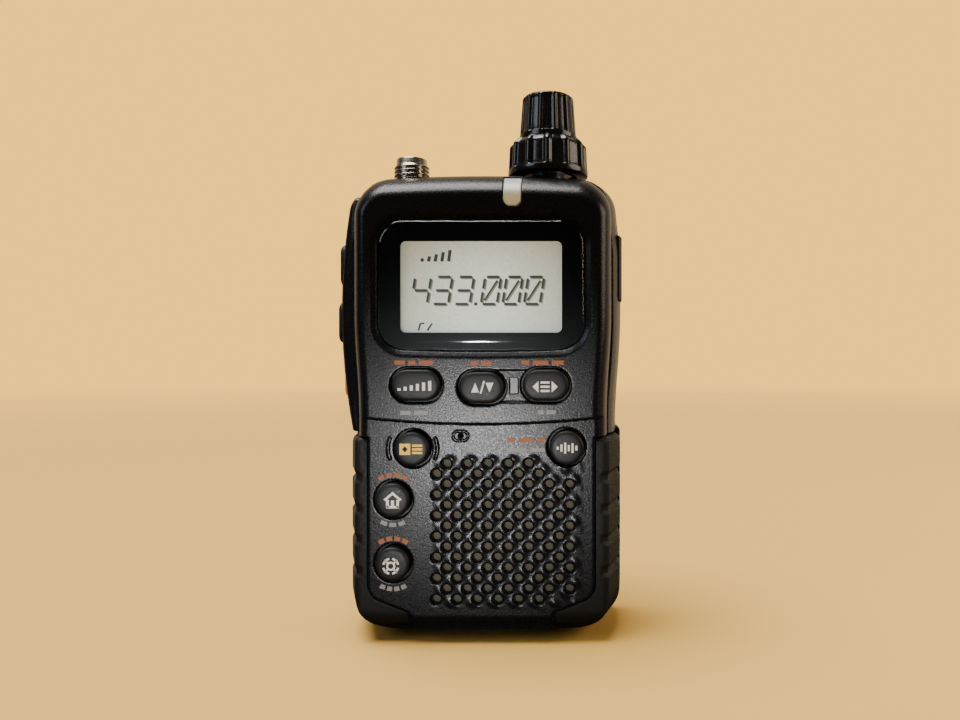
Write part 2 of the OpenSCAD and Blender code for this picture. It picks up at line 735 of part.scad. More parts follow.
module battery_latch() color([0.2, 0.2, 0.2]) {
  slab(back_y - 0.45, back_y + 0.2) translate([0, latch_z]) square([latch_w, 3.2], center = true);
  for (dz = [-1, 0, 1]) slab(back_y + 0.1, back_y + 0.5) translate([0, latch_z + dz]) square([latch_w - 2, 0.45], center = true);
  slab(cover_in_y - 0.9, back_y - 0.4) translate([0, latch_z - 0.2]) square([latch_w - 3.4, 1.6], center = true);
  slab(cover_in_y - 0.9, cover_in_y - 0.2) translate([0, latch_z - 1.9]) square([latch_w - 3.4, 3], center = true);
}

// ---------- moving keys and covers ----------

module jack_cover() color([0.1, 0.1, 0.1]) {
  translate([0, 0, cover_low]) linear_extrude(cover_top - cover_low) polygon([
    [cover_x - cover_t, cover_front], [cover_x - 0.8, cover_front], [cover_x - 0.15, 1],
    [cover_x, 3], [cover_x, cover_back], [cover_x - cover_t, cover_back]
  ]);
  translate([cover_pin[0], cover_pin[1], cover_low]) cylinder(r = 0.8, h = cover_top - cover_low);
  translate([cover_pin[0], cover_pin[1], cover_low - 1]) cylinder(r = 0.4, h = cover_top - cover_low + 2);
}

// One oblong key, with its flange and stem
module pill_key(k) color([0.11, 0.11, 0.11]) {
  w = pill_w - k[2];
  translate([k[0], 0, k[1]]) {
    slab(pill_top_y + 0.3, pill_flange_y + 0.1) pill(w, pill_h);
    slab(pill_top_y, pill_top_y + 0.3) pill(w - 0.6, pill_h - 0.6);
    slab(pill_flange_y, pill_flange_y + flange_t) pill(w + 2 * flange_rim, pill_h + 2 * flange_rim);
  }
  bar_y(k[0], k[1], stem_r, pill_flange_y, stem_end_y);
}

// One round key, with its flange and stem
module round_key(k) color([0.11, 0.11, 0.11]) {
  bar_y(k[0], k[1], round_d / 2, round_top_y + 0.3, round_flange_y + 0.1);
  translate([k[0], round_top_y + 0.3, k[1]]) rotate([90, 0, 0]) cylinder(d1 = round_d, d2 = round_d - 0.8, h = 0.3);
  bar_y(k[0], k[1], round_d / 2 + flange_rim, round_flange_y, round_flange_y + flange_t);
  bar_y(k[0], k[1], stem_r, round_flange_y, stem_end_y);
}

// One side key: its face stands out of the platform, and its stem reaches towards its switch
module side_key(k) {
  side_key_shape(k, platform_at(k[0]) - k[2], side_inner_x + 0.2, 0);
  side_key_shape(k, side_inner_x + 0.1, side_inner_x + 0.5, key_gap / 2 + 0.3);
  bar_x(side_key_y, k[0], 0.8, side_inner_x, -21 - k[3]);
}

module key_left() pill_key(pill_keys[0]);
module key_middle() pill_key(pill_keys[1]);
module key_right() pill_key(pill_keys[2]);
module key_function() round_key(round_keys[0]);
module key_mode() round_key(round_keys[1]);
module key_home() round_key(round_keys[2]);
module key_link() round_key(round_keys[3]);
module ptt_button() color([0.08, 0.08, 0.08]) side_key(side_keys[0]);
module monitor_button() color([0.08, 0.08, 0.08]) side_key(side_keys[1]);
module power_button() color([0.8, 0.25, 0.08]) side_key(side_keys[2]);

front_case();
rear_case();
case_gasket();
grip_left();
grip_right();
case_screws();
display_lens();
lens_mask();
lcd_glass();
lcd_backlight();
lcd_holder();
lcd_connector();
status_lens();
status_led();
microphone_screen();
microphone();
speaker_cloth();
speaker_frame();
speaker_cone();
speaker_magnet();
key_mat();
key_domes();
main_board();
radio_board();
shield_can();
board_connector();
antenna_jack();
antenna_insulator();
antenna_contact();
antenna_washer();
encoder_body();
encoder_nut();
encoder_shaft();
dial_skirt();
dial_cap();
side_switch_board();
side_switches();
audio_jack();
charging_jack();
strap_post();
battery_pack();
battery_contacts();
cover_gasket();
battery_cover();
battery_latch();
jack_cover();
key_left();
key_middle();
key_right();
key_function();
key_mode();
key_home();
key_link();
ptt_button();
monitor_button();
power_button();
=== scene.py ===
"""A pocket handheld radio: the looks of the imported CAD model, with the front panel facing -Y and Z up.

Lengths are in millimetres until a mesh is made, which turns them into metres. Shells are solids
given by distance fields: a field is negative inside the solid, and its zero surface is meshed.
"""
import math

import bpy
import numpy as np
import openvdb
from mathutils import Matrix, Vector


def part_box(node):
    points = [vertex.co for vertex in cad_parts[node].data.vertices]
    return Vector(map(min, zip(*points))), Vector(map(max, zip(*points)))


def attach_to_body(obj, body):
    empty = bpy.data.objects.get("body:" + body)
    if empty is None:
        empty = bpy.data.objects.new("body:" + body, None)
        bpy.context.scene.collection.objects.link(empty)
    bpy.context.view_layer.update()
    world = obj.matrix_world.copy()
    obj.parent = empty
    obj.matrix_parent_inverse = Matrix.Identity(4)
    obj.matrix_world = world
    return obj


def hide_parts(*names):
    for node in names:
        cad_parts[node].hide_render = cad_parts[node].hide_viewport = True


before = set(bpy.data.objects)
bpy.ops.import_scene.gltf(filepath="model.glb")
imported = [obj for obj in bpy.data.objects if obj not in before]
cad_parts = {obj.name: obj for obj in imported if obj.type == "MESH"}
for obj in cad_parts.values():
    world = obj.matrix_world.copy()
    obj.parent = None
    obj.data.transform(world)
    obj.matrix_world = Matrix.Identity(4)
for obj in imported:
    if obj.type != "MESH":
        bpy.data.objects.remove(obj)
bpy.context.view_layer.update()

MM = 0.001


# ---------------------------------------------------------------- measures from the frame

def box_mm(node):
    low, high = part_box(node)
    return np.array(low) / MM, np.array(high) / MM


def middle(node):
    low, high = box_mm(node)
    return (low + high) / 2


front_low, front_high = box_mm("front_case")
FRONT = -front_low[1]            # depths count towards the viewer, as -Y
SEAM = -front_high[1]
FRONT_HALF = front_high[0]
TOP = front_high[2]
GRILLE = FRONT - 0.8             # the lower panel lies this much deeper
WAIST_HALF = FRONT_HALF - 0.8
LIP_HALF = FRONT_HALF - 3
LIP_DEPTH = FRONT - 2.4
STEP_LOW = 37.2                  # foot of the raised panel
GRIP_TOP = box_mm("grip_right")[1][2]
SKIRT_HALF = 11.9                # the panel reaches the base between the grips
WALL = 1.4
KEY_GAP = 0.35


# ---------------------------------------------------------------- fields

def disc(x, z, cx, cz, r):
    return np.hypot(x - cx, z - cz) - r


def slot_shape(x, z, cx, cz, w, h):
    """Oblong with round ends."""
    r = h / 2
    return np.hypot(np.maximum(np.abs(x - cx) - (w / 2 - r), 0), z - cz) - r


def round_box(x, z, cx, cz, w, h, r):
    qx = np.abs(x - cx) - w / 2 + r
    qz = np.abs(z - cz) - h / 2 + r
    return np.hypot(np.maximum(qx, 0), np.maximum(qz, 0)) + np.minimum(np.maximum(qx, qz), 0) - r


def segment(x, z, a, b, r):
    """Stroke of half width r from a to b."""
    ax, az = a
    bx, bz = b
    lx, lz = bx - ax, bz - az
    t = np.clip(((x - ax) * lx + (z - az) * lz) / (lx * lx + lz * lz), 0, 1)
    return np.hypot(x - ax - t * lx, z - az - t * lz) - r


def outline_field(points, x, z):
    """Signed distance to a closed outline of points."""
    nearest = np.full(np.broadcast(x, z).shape, 1e6, np.float32)
    inside = np.zeros(nearest.shape, bool)
    for (ax, az), (bx, bz) in zip(points, points[1:] + points[:1]):
        lx, lz = bx - ax, bz - az
        t = np.clip(((x - ax) * lx + (z - az) * lz) / max(lx * lx + lz * lz, 1e-9), 0, 1)
        np.minimum(nearest, (x - ax - t * lx) ** 2 + (z - az - t * lz) ** 2, out=nearest)
        if az != bz:
            crosses = ((az > z) != (bz > z)) & (x < lx * (z - az) / lz + ax)
            inside ^= crosses
    return np.sqrt(nearest) * np.where(inside, -1, 1)


def round_max(a, b, r):
    """Intersection of two solids, with a rounded edge."""
    u, v = np.maximum(a + r, 0), np.maximum(b + r, 0)
    return np.minimum(np.maximum(a, b), -r) + np.sqrt(u * u + v * v)


def round_min(a, b, r):
    """Union of two solids, with a filleted corner."""
    return -round_max(-a, -b, r)


def rounded_face(side, over, rx, ry):
    """A wall and a face that meet in an elliptical edge, rx into the face and ry down the wall."""
    u, v = np.maximum(side + rx, 0) / rx, np.maximum(over + ry, 0) / ry
    n = np.sqrt(u * u + v * v) + 1e-6
    slope = np.sqrt((u / rx) ** 2 + (v / ry) ** 2) / n
    return np.where(n < 1e-3, np.maximum(side, over), (n - 1) / np.maximum(slope, 1e-3))


def smooth(a, b, t):
    t = np.clip((t - a) / (b - a), 0, 1)
    return t * t * (3 - 2 * t)


def arc(cx, cz, r, start, end, n=10):
    angles = [math.radians(start + (end - start) * i / n) for i in range(n + 1)]
    return [(cx + r * math.cos(a), cz + r * math.sin(a)) for a in angles]


def mirrored(right):
    """Closed outline from its right half, given from bottom to top."""
    return right + [(-x, z) for x, z in reversed(right)]


# ---------------------------------------------------------------- meshes

def new_object(name, vertices, faces, material, smooth_angle=None):
    mesh = bpy.data.meshes.new(name)
    mesh.from_pydata(vertices, [], faces)
    mesh.validate()
    mesh.shade_smooth()
    if smooth_angle is not None:
        mesh.set_sharp_from_angle(angle=math.radians(smooth_angle))
    mesh.materials.append(material)
    piece = bpy.data.objects.new(name, mesh)
    bpy.context.scene.collection.objects.link(piece)
    return piece


def attach(piece, body, replaces=()):
    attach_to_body(piece, body)
    if replaces:
        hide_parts(*replaces)
    return piece


def solid(name, field, low, high, step, material, body, replaces=(), adaptivity=0.0):
    """Meshes the solid of field(x, y, z) that lies between two corners."""
    low, high = np.array(low, float) - 2.5 * step, np.array(high, float) + 2.5 * step
    axes = [np.arange(low[i], high[i] + step, step, dtype=np.float32) for i in range(3)]
    x, y, z = np.meshgrid(*axes, indexing="ij", sparse=True)
    values = np.clip(field(x, y, z), -3 * step, 3 * step).astype(np.float32)
    grid = openvdb.FloatGrid(3 * step)
    grid.copyFromArray(np.array(np.broadcast_to(values, [len(a) for a in axes])))
    points, triangles, quads = grid.convertToPolygons(isovalue=0.0, adaptivity=adaptivity)
    points = (points * step + low) * MM
    mesh = bpy.data.meshes.new(name)
    faces = [tuple(f[::-1]) for f in quads.tolist()] + [tuple(f[::-1]) for f in triangles.tolist()]
    mesh.from_pydata(points.tolist(), [], faces)
    mesh.shade_smooth()
    mesh.materials.append(material)
    piece = bpy.data.objects.new(name, mesh)
    bpy.context.scene.collection.objects.link(piece)
    return attach(piece, body, replaces)


# ---------------------------------------------------------------- materials

def material(name, color, roughness, metallic=0.0, **values):
    mat = bpy.data.materials.new(name)
    mat.use_nodes = True
    shader = mat.node_tree.nodes["Principled BSDF"]
    shader.inputs["Base Color"].default_value = (*color, 1)
    shader.inputs["Roughness"].default_value = roughness
    shader.inputs["Metallic"].default_value = metallic
    for key, value in values.items():
        shader.inputs[key.replace("_", " ")].default_value = value
    return mat


def add(mat, kind, **values):
    node = mat.node_tree.nodes.new(kind)
    for key, value in values.items():
        setattr(node, key, value)
    return node


def link(mat, a, out, b, into):
    mat.node_tree.links.new(a.outputs[out], b.inputs[into])


def grain(mat, scale, strength, distance=0.05 * MM, detail=3, rough=(None, None), kind="ShaderNodeTexNoise"):
    """Fine moulded grain: bump, and a roughness that varies with it. Scale is in grains per millimetre."""
    shader = mat.node_tree.nodes["Principled BSDF"]
    place = add(mat, "ShaderNodeTexCoord")
    noise = add(mat, kind)
    noise.inputs["Scale"].default_value = scale / MM
    if kind == "ShaderNodeTexNoise":
        noise.inputs["Detail"].default_value = detail
    link(mat, place, "Object", noise, "Vector")
    out = "Fac" if kind == "ShaderNodeTexNoise" else "Distance"
    bump = add(mat, "ShaderNodeBump")
    bump.inputs["Strength"].default_value = strength
    bump.inputs["Distance"].default_value = distance
    link(mat, noise, out, bump, "Height")
    link(mat, bump, "Normal", shader, "Normal")
    if rough[0] is not None:
        spread = add(mat, "ShaderNodeMapRange")
        spread.inputs["From Min"].default_value = 0.35
        spread.inputs["From Max"].default_value = 0.65
        spread.inputs["To Min"].default_value = rough[0]
        spread.inputs["To Max"].default_value = rough[1]
        link(mat, noise, out, spread, "Value")
        link(mat, spread, "Result", shader, "Roughness")
    return mat


CASE_BLACK = grain(material("case_black", (0.0035, 0.004, 0.0055), 0.35, Specular_IOR_Level=0.3),
                   3.4, 0.6, 0.045 * MM, 4, (0.25, 0.35))
GRIP_BLACK = grain(material("grip_black", (0.006, 0.0055, 0.005), 0.6, Specular_IOR_Level=0.3),
                   3.0, 0.25, 0.04 * MM, 3, (0.45, 0.7))
KEY_BLACK = grain(material("key_black", (0.005, 0.0053, 0.006), 0.5, Specular_IOR_Level=0.35),
                  6.0, 0.15, 0.03 * MM, 2, (0.4, 0.55))
LEGEND_WHITE = grain(material("legend_white", (0.62, 0.66, 0.68), 0.55), 6.0, 0.1, 0.02 * MM)
LEGEND_YELLOW = grain(material("legend_yellow", (0.75, 0.5, 0.03), 0.55), 6.0, 0.1, 0.02 * MM)
PRINT_ORANGE = grain(material("print_orange", (0.26, 0.085, 0.025), 0.6), 6.0, 0.3, 0.04 * MM)
PRINT_GREY = grain(material("print_grey", (0.2, 0.22, 0.26), 0.6), 6.0, 0.3, 0.04 * MM)
GLOSS_BLACK = grain(material("dial_black", (0.006, 0.006, 0.007), 0.2), 1.5, 0.01, 0.01 * MM, 2, (0.16, 0.25))
MASK_BLACK = grain(material("mask_black", (0.002, 0.002, 0.003), 0.3, Specular_IOR_Level=0.2),
                   0.4, 0.0, 0.01 * MM, 2, (0.3, 0.34))
NICKEL = grain(material("nickel", (0.62, 0.56, 0.44), 0.25, 1.0), 8.0, 0.1, 0.01 * MM, 2, (0.18, 0.32))
KEY_ORANGE = grain(material("key_orange", (0.55, 0.12, 0.03), 0.5), 6.0, 0.15, 0.03 * MM, 2, (0.42, 0.6))
STATUS_WHITE = grain(material("status_lens", (0.62, 0.58, 0.5), 0.3, Subsurface_Weight=0.3),
                     1.0, 0.05, 0.02 * MM)
SEGMENT_INK = grain(material("segment_ink", (0.07, 0.1, 0.125), 0.6), 8.0, 0.1, 0.01 * MM)
# Grey of the painted shadow under the LCD figures.
SEGMENT_SHADE = grain(material("segment_shade", (0.33, 0.36, 0.35), 0.6), 8.0, 0.1, 0.01 * MM)


def lcd_painted_glow_material():
    """Grainy reflective glass with a painted glow: it emits light of its own, brightest around its middle, in
    place of the light that falls on it.
    """
    mat = grain(material("lcd_grey", (0.62, 0.68, 0.63), 0.5), 5.0, 0.1, 0.02 * MM, 4)
    shader = mat.node_tree.nodes["Principled BSDF"]
    shader.inputs["Emission Color"].default_value = (0.86, 0.93, 0.88, 1)
    place = add(mat, "ShaderNodeTexCoord")
    shift = add(mat, "ShaderNodeMapping")
    shift.inputs["Location"].default_value = (-0.03, 0, -3.28)
    shift.inputs["Scale"].default_value = (1 / (15.5 * MM), 0, 1 / (18 * MM))
    size = add(mat, "ShaderNodeVectorMath", operation="LENGTH")
    glow_speck = add(mat, "ShaderNodeTexNoise")
    glow_speck.inputs["Scale"].default_value = 3.2 / MM
    glow_speck.inputs["Detail"].default_value = 3
    glow = add(mat, "ShaderNodeMapRange")
    glow.inputs["From Min"].default_value = 0.25
    glow.inputs["From Max"].default_value = 1.15
    glow.inputs["To Min"].default_value = 0.62
    glow.inputs["To Max"].default_value = 0.14
    spread = add(mat, "ShaderNodeMapRange")
    spread.inputs["From Min"].default_value = 0.3
    spread.inputs["From Max"].default_value = 0.7
    spread.inputs["To Min"].default_value = 0.8
    spread.inputs["To Max"].default_value = 1.2
    product = add(mat, "ShaderNodeMath", operation="MULTIPLY")
    link(mat, place, "Object", shift, "Vector")
    link(mat, shift, "Vector", size, 0)
    link(mat, size, "Value", glow, "Value")
    link(mat, place, "Object", glow_speck, "Vector")
    link(mat, glow_speck, "Fac", spread, "Value")
    link(mat, glow, "Result", product, 0)
    link(mat, spread, "Result", product, 1)
    # Painted glow: the emission strength, highest at the middle, fading outwards and speckled, stands in for
    # light on the display.
    link(mat, product, 0, shader, "Emission Strength")
    return mat


# Display glass material with a painted glow.
LCD_PAINTED_GLOW = lcd_painted_glow_material()


def lens_material():
    mat = material("lens", (1, 1, 1), 0.03)
    shader = mat.node_tree.nodes["Principled BSDF"]
    clear = add(mat, "ShaderNodeBsdfTransparent")
    clear.inputs["Color"].default_value = (0.93, 0.95, 0.95, 1)
    gloss = add(mat, "ShaderNodeBsdfGlossy")
    gloss.inputs["Roughness"].default_value = 0.04
    fresnel = add(mat, "ShaderNodeFresnel")
    fresnel.inputs["IOR"].default_value = 1.45
    place = add(mat, "ShaderNodeTexCoord")
    noise = add(mat, "ShaderNodeTexNoise")
    noise.inputs["Scale"].default_value = 0.3 / MM
    haze = add(mat, "ShaderNodeMapRange")
    haze.inputs["To Min"].default_value = 0.02
    haze.inputs["To Max"].default_value = 0.09
    link(mat, place, "Object", noise, "Vector")
    link(mat, noise, "Fac", haze, "Value")
    link(mat, haze, "Result", gloss, "Roughness")
    mix = add(mat, "ShaderNodeMixShader")
    side = add(mat, "ShaderNodeNewGeometry")
    front = add(mat, "ShaderNodeMath", operation="MULTIPLY_ADD")
    front.inputs[1].default_value = -1
    front.inputs[2].default_value = 1
    share = add(mat, "ShaderNodeMath", operation="MULTIPLY")
    link(mat, side, "Backfacing", front, 0)
    link(mat, front, 0, share, 0)
    link(mat, fresnel, 0, share, 1)
    mat.node_tree.links.new(share.outputs[0], mix.inputs[0])
    mat.node_tree.links.new(clear.outputs[0], mix.inputs[1])
    mat.node_tree.links.new(gloss.outputs[0], mix.inputs[2])
    mat.node_tree.links.new(mix.outputs[0], mat.node_tree.nodes["Material Output"].inputs["Surface"])
    mat.node_tree.nodes.remove(shader)
    return mat


LENS = lens_material()


# ---------------------------------------------------------------- lofted and flat pieces

def loft(name, rings, mat, body, replaces=(), closed=False, sharp=50):
    """Skin over rings of equal length; the ends are capped unless the last ring joins the first."""
    n = len(rings[0])
    points = [tuple(np.array(p) * MM) for ring in rings for p in ring]
    faces = []
    spans = len(rings) if closed else len(rings) - 1
    for k in range(spans):
        a, b = k * n, ((k + 1) % len(rings)) * n
        faces += [(a + i, a + (i + 1) % n, b + (i + 1) % n, b + i) for i in range(n)]
    if not closed:
        faces += [tuple(range(n))[::-1], tuple((len(rings) - 1) * n + i for i in range(n))]
    return attach(new_object(name, points, faces, mat, sharp), body, replaces)


def stadium(cx, cz, w, h, n=16):
    r = h / 2
    half = max(w / 2 - r, 0)
    return arc(cx + half, cz, r, -90, 90, n) + arc(cx - half, cz, r, 90, 270, n)


def round_outline(cx, cz, w, h, r, n=10):
    corners = ((1, -1, -90), (1, 1, 0), (-1, 1, 90), (-1, -1, 180))
    points = []
    for sx, sz, start in corners:
        points += arc(cx + sx * (w / 2 - r), cz + sz * (h / 2 - r), r, start, start + 90, n)
    return points


def at_depth(outline, h):
    return [(x, -h, z) for x, z in outline]


def flat(name, shapes, low, high, mat, body, slot=None):
    """Thin prisms between two depths, one for each outline."""
    points, faces = [], []
    for shape in shapes:
        base, n = len(points), len(shape)
        area = sum(shape[i - 1][0] * shape[i][1] - shape[i][0] * shape[i - 1][1] for i in range(n))
        shape = shape if area > 0 else shape[::-1]
        points += [(x * MM, -low * MM, z * MM) for x, z in shape]
        points += [(x * MM, -high * MM, z * MM) for x, z in shape]
        faces += [(base + i, base + (i + 1) % n, base + n + (i + 1) % n, base + n + i) for i in range(n)]
        faces += [tuple(range(base + n - 1, base - 1, -1)), tuple(range(base + n, base + 2 * n))]
    return attach(new_object(name, points, faces, mat, 30), body, ())


def bar(x0, z0, x1, z1, w):
    length = math.hypot(x1 - x0, z1 - z0)
    nx, nz = -(z1 - z0) / length * w / 2, (x1 - x0) / length * w / 2
    return [(x0 + nx, z0 + nz), (x0 - nx, z0 - nz), (x1 - nx, z1 - nz), (x1 + nx, z1 + nz)]


def block(cx, cz, w, h):
    left, right, low, high = cx - w / 2, cx + w / 2, cz - h / 2, cz + h / 2
    return [(left, low), (right, low), (right, high), (left, high)]


def band(cx, cz, r, start, end, w):
    n = max(4, int(abs(end - start) / 8))
    return arc(cx, cz, r + w / 2, start, end, n) + arc(cx, cz, r - w / 2, end, start, n)


def turned(name, cx, cy, profile, mat, body, replaces=(), n=96, shape=None, sharp=40):
    """Round piece about an upright axis: profile of (radius, z) as a closed loop."""
    rings = []
    for r, z in profile:
        ring = []
        for i in range(n):
            t = 2 * math.pi * i / n
            radius = r if shape is None else shape(r, z, t)
            ring.append((cx + radius * math.cos(t), cy + radius * math.sin(t), z))
        rings.append(ring)
    return loft(name, rings, mat, body, replaces, closed=True, sharp=sharp)


# ---------------------------------------------------------------- front case

def half_width(z):
    """The case draws in to a waist above the grips."""
    return WAIST_HALF + (FRONT_HALF - WAIST_HALF) * smooth(39, 56, z)


LIP_OUTLINE = mirrored(
    [(SKIRT_HALF, -8), (SKIRT_HALF - 0.1, 4.6), (SKIRT_HALF + 0.6, 5.5)]
    + arc(LIP_HALF - 3, 10.2, 3, -62, 0) + [(LIP_HALF, 34), (LIP_HALF, 39.5)]
)
CORE_OUTLINE = mirrored(
    [(SKIRT_HALF, -8), (SKIRT_HALF, 2.6), (20.2, 4.2), (WAIST_HALF, 9), (WAIST_HALF, GRIP_TOP + 0.1)]
)
WINDOW = (middle("display_lens")[0], middle("display_lens")[2], 34.8, 22.2, 4.2)
LCD = (0.1, 60.3, 27.3, 15.4, 0.9)
PILL_KEYS = {"key_left": 8.2, "key_middle": 7.6, "key_right": 7.8}
PILL_H = 5.3
ROUND_KEYS = ("key_function", "key_mode", "key_home", "key_link")
ROUND_D = 5.8
STEM_END = 6.35
PILL_MARK = (11.1, 11.27)        # depths between which the marks on the keys lie
ROUND_MARK = (10.75, 10.97)
STATUS_LOW, STATUS_HIGH = box_mm("status_lens")
PORT = middle("microphone_screen")
HOLE_PITCH = 3.46
GRILLE_X, GRILLE_TOP = -5.87, 30.6


def grille_holes():
    holes = []
    for row in range(14):
        count = 5 if row == 0 else 6 if row in (1, 13) else 7
        for i in range(count):
            holes.append((GRILLE_X + (i - (row % 2) / 2) * HOLE_PITCH, GRILLE_TOP - row * HOLE_PITCH * 0.51))
    return holes


def base_field(h, z):
    """The base is flat towards the back and rises towards the front."""
    t = np.maximum(h - 2, 0)
    return (0.25 * t + 0.035 * t * t - z) / np.sqrt(1 + (0.25 * (t > 0) + 0.07 * t) ** 2)


def top_field(x, h, z):
    """The top bows down towards the sides and slopes down towards the front."""
    return z - TOP + 0.5 * (x / 16) ** 2 + 0.35 * smooth(-1.4, 4.7, h) + 0.22 * np.maximum(h - 4.7, 0)


def status_field(x, z, gap=0.0):
    w = STATUS_HIGH[0] - STATUS_LOW[0]
    cx = (STATUS_HIGH[0] + STATUS_LOW[0]) / 2
    return round_box(x, z, cx, STATUS_LOW[2] + 10, w + 2 * gap, 20 + 2 * gap, 1.15 + gap)


def window_field(x, z):
    """The window's lower edge bows down a little."""
    cx, cz, w, h, r = WINDOW
    dome = np.clip(1 - ((x - cx) / (w / 2)) ** 2, 0, 1)
    return round_box(x, z + np.where(z < cz, 0.5 * dome - 0.35, 0.15 - 0.25 * dome), cx, cz, w, h - 0.3, r)


def relief(x, z):
    """Raised detail of the lower panel: slanting ridges between the holes, and small embossed marks."""
    across = (x - GRILLE_X + (z - GRILLE_TOP)) / math.sqrt(2) / (HOLE_PITCH * 0.7106)
    ridge = 0.5 - 0.5 * np.cos(2 * math.pi * across)
    along = (x - GRILLE_X - (z - GRILLE_TOP)) / math.sqrt(2) / (HOLE_PITCH * 0.7106)
    swell = 0.65 + 0.35 * np.cos(2 * math.pi * along)
    field = round_box(x, z, 4.5, 19.3, 24.6, 25.6, 2)
    bumps = 0.2 * ridge ** 1.5 * swell * (1 - smooth(-0.6, 0.5, field))
    oval = np.abs(slot_shape(x, z, -3.45, 35.3, 2.5, 1.6)) - 0.12
    bumps = np.maximum(bumps, 0.12 * (1 - smooth(-0.08, 0.1, oval)))
    cx, _, cz = middle("key_function")
    angle = np.abs(np.degrees(np.arctan2(z - cz, np.abs(x - cx))))
    ear = np.maximum(np.abs(np.hypot(x - cx, z - cz) - 4.15) - 0.22, (angle - 26) * 0.07)
    return np.maximum(bumps, 0.16 * (1 - smooth(-0.1, 0.12, ear)))


def raised_panel(x, h, z):
    body = round_max(np.abs(x) - half_width(z), top_field(x, h, z), 6)
    edge = 2.7 + 0.9 * smooth(72, 79, z)
    foot = STEP_LOW + 1.1 * (x / 20) ** 2 - z
    return round_max(rounded_face(body, h - FRONT, edge, 5.4), foot, 0.45)


def front_shell_field(x, y, z):
    h = -y
    raised = raised_panel(x, h, z)
    sides = np.maximum(rounded_face(np.abs(x) - half_width(z), h - GRILLE, 2.3, 4.6), GRIP_TOP + 0.1 - z)
    sides = np.maximum(sides, z - 60)
    panel = rounded_face(outline_field(LIP_OUTLINE, x, z), h - GRILLE - relief(x, z), 0.45, 0.45)
    core = np.maximum(outline_field(CORE_OUTLINE, x, z), h - LIP_DEPTH)
    core = np.maximum(core, np.abs(x) - WAIST_HALF + 1.2 * smooth(5, 8.2, h))
    outer = np.minimum(np.minimum(raised, sides), np.minimum(panel, core))
    outer = round_max(outer, base_field(h, z), 0.8)

    window = window_field(x, z)
    shell = np.maximum(outer, -(outer + WALL))
    shell = np.minimum(shell, np.maximum(window - 1.6, np.abs(h - 9.5) - 0.55))
    rim = window - 0.12 - np.maximum(h - (FRONT - 0.55), 0) * 1.7
    shell = round_max(shell, -np.maximum(rim, 9.7 - h), 0.14)
    shell = np.maximum(shell, -np.maximum(round_box(x, z, *LCD) - 0.5, 8 - h))
    for name, w in PILL_KEYS.items():
        cx, _, cz = middle(name)
        well = slot_shape(x, z, cx, cz, w + 2 * KEY_GAP, PILL_H + 2 * KEY_GAP)
        shell = round_max(shell, -np.maximum(well, 8 - h), 0.22)
    link_shape = round_box(x, z, PORT[0], PORT[2] - 0.1, 8.0, PILL_H + 0.1, 0.3)
    shell = round_max(shell, -np.maximum(link_shape, FRONT - 0.75 - h), 0.18)
    shell = np.maximum(shell, -np.maximum(round_box(x, z, PORT[0], PORT[2], 1.35, 2.7, 0.2), 8 - h))
    for name in ROUND_KEYS:
        cx, _, cz = middle(name)
        shell = round_max(shell, -np.maximum(disc(x, z, cx, cz, ROUND_D / 2 + KEY_GAP), 7.9 - h), 0.22)
    holes = np.full(np.broadcast(x, z).shape, 9.0, np.float32)
    for cx, cz in grille_holes():
        np.minimum(holes, np.hypot(x - cx, z - cz), out=holes)
    taper = 0.7 + 0.2 * smooth(GRILLE - 0.7, GRILLE, h)
    shell = round_max(shell, -np.maximum(holes - taper, 8 - h), 0.12)
    shell = round_max(shell, -np.maximum(disc(x, z, -3.45, 35.3, 0.32), 8 - h), 0.05)
    shell = round_max(shell, -np.maximum(status_field(x, z, 0.06), 6.2 - h), 0.08)
    return np.maximum(shell, SEAM - h)


def status_lens_field(x, y, z):
    h = -y
    lens = round_max(status_field(x, z), raised_panel(x, h, z) + 0.02, 0.2)
    return np.maximum(lens, 6.3 - h)


def make_front_case():
    low, high = box_mm("front_case")
    solid("front_shell", front_shell_field, low, high, 0.14, CASE_BLACK, "case", ["front_case"])
    low, high = box_mm("status_lens")
    high[1] = -6.2
    solid("status_window", status_lens_field, low, high, 0.08, STATUS_WHITE, "case",
          ["status_lens"])


# ---------------------------------------------------------------- display

def window_ring(inset):
    cx, cz, w, h, r = WINDOW
    points = []
    for x, z in round_outline(cx, cz, w - 0.16 - 2 * inset, h - 0.4 - 2 * inset, max(r - inset, 0.4), 12):
        dome = max(1 - ((x - cx) / (w / 2)) ** 2, 0)
        points.append((x, z + (0.35 - 0.5 * dome if z < cz else -0.15 + 0.25 * dome) * max(0, 1 - inset / 8)))
    return points


SEGMENTS = {"4": "bcfg", "3": "abcdg", "0": "abcdefx"}


def digit(x, z, glyph, w=2.7, h=4.6, t=0.42, slant=0.16):
    """Slanted seven-segment figure with a stroke through the zero."""
    ends = {
        "a": ((0, h), (w, h)), "g": ((0, h / 2), (w, h / 2)), "d": ((0, 0), (w, 0)),
        "b": ((w, h), (w, h / 2)), "c": ((w, h / 2), (w, 0)),
        "f": ((0, h), (0, h / 2)), "e": ((0, h / 2), (0, 0)),
    }
    shapes = []
    for key in SEGMENTS[glyph]:
        if key == "x":
            foot, head = (x + 0.5 + slant * 0.6, z + 0.6), (x + w - 0.55 + slant * (h - 0.6), z + h - 0.6)
            shapes += [bar(*foot, *head, t * 0.7)]
            continue
        (x0, z0), (x1, z1) = ends[key]
        gap = 0.3
        if z0 == z1:
            x0, x1 = x0 + gap, x1 - gap
        else:
            z0, z1 = z0 - gap, z1 + gap
        shapes.append(bar(x + x0 + slant * z0, z + z0, x + x1 + slant * z1, z + z1, t))
    return shapes


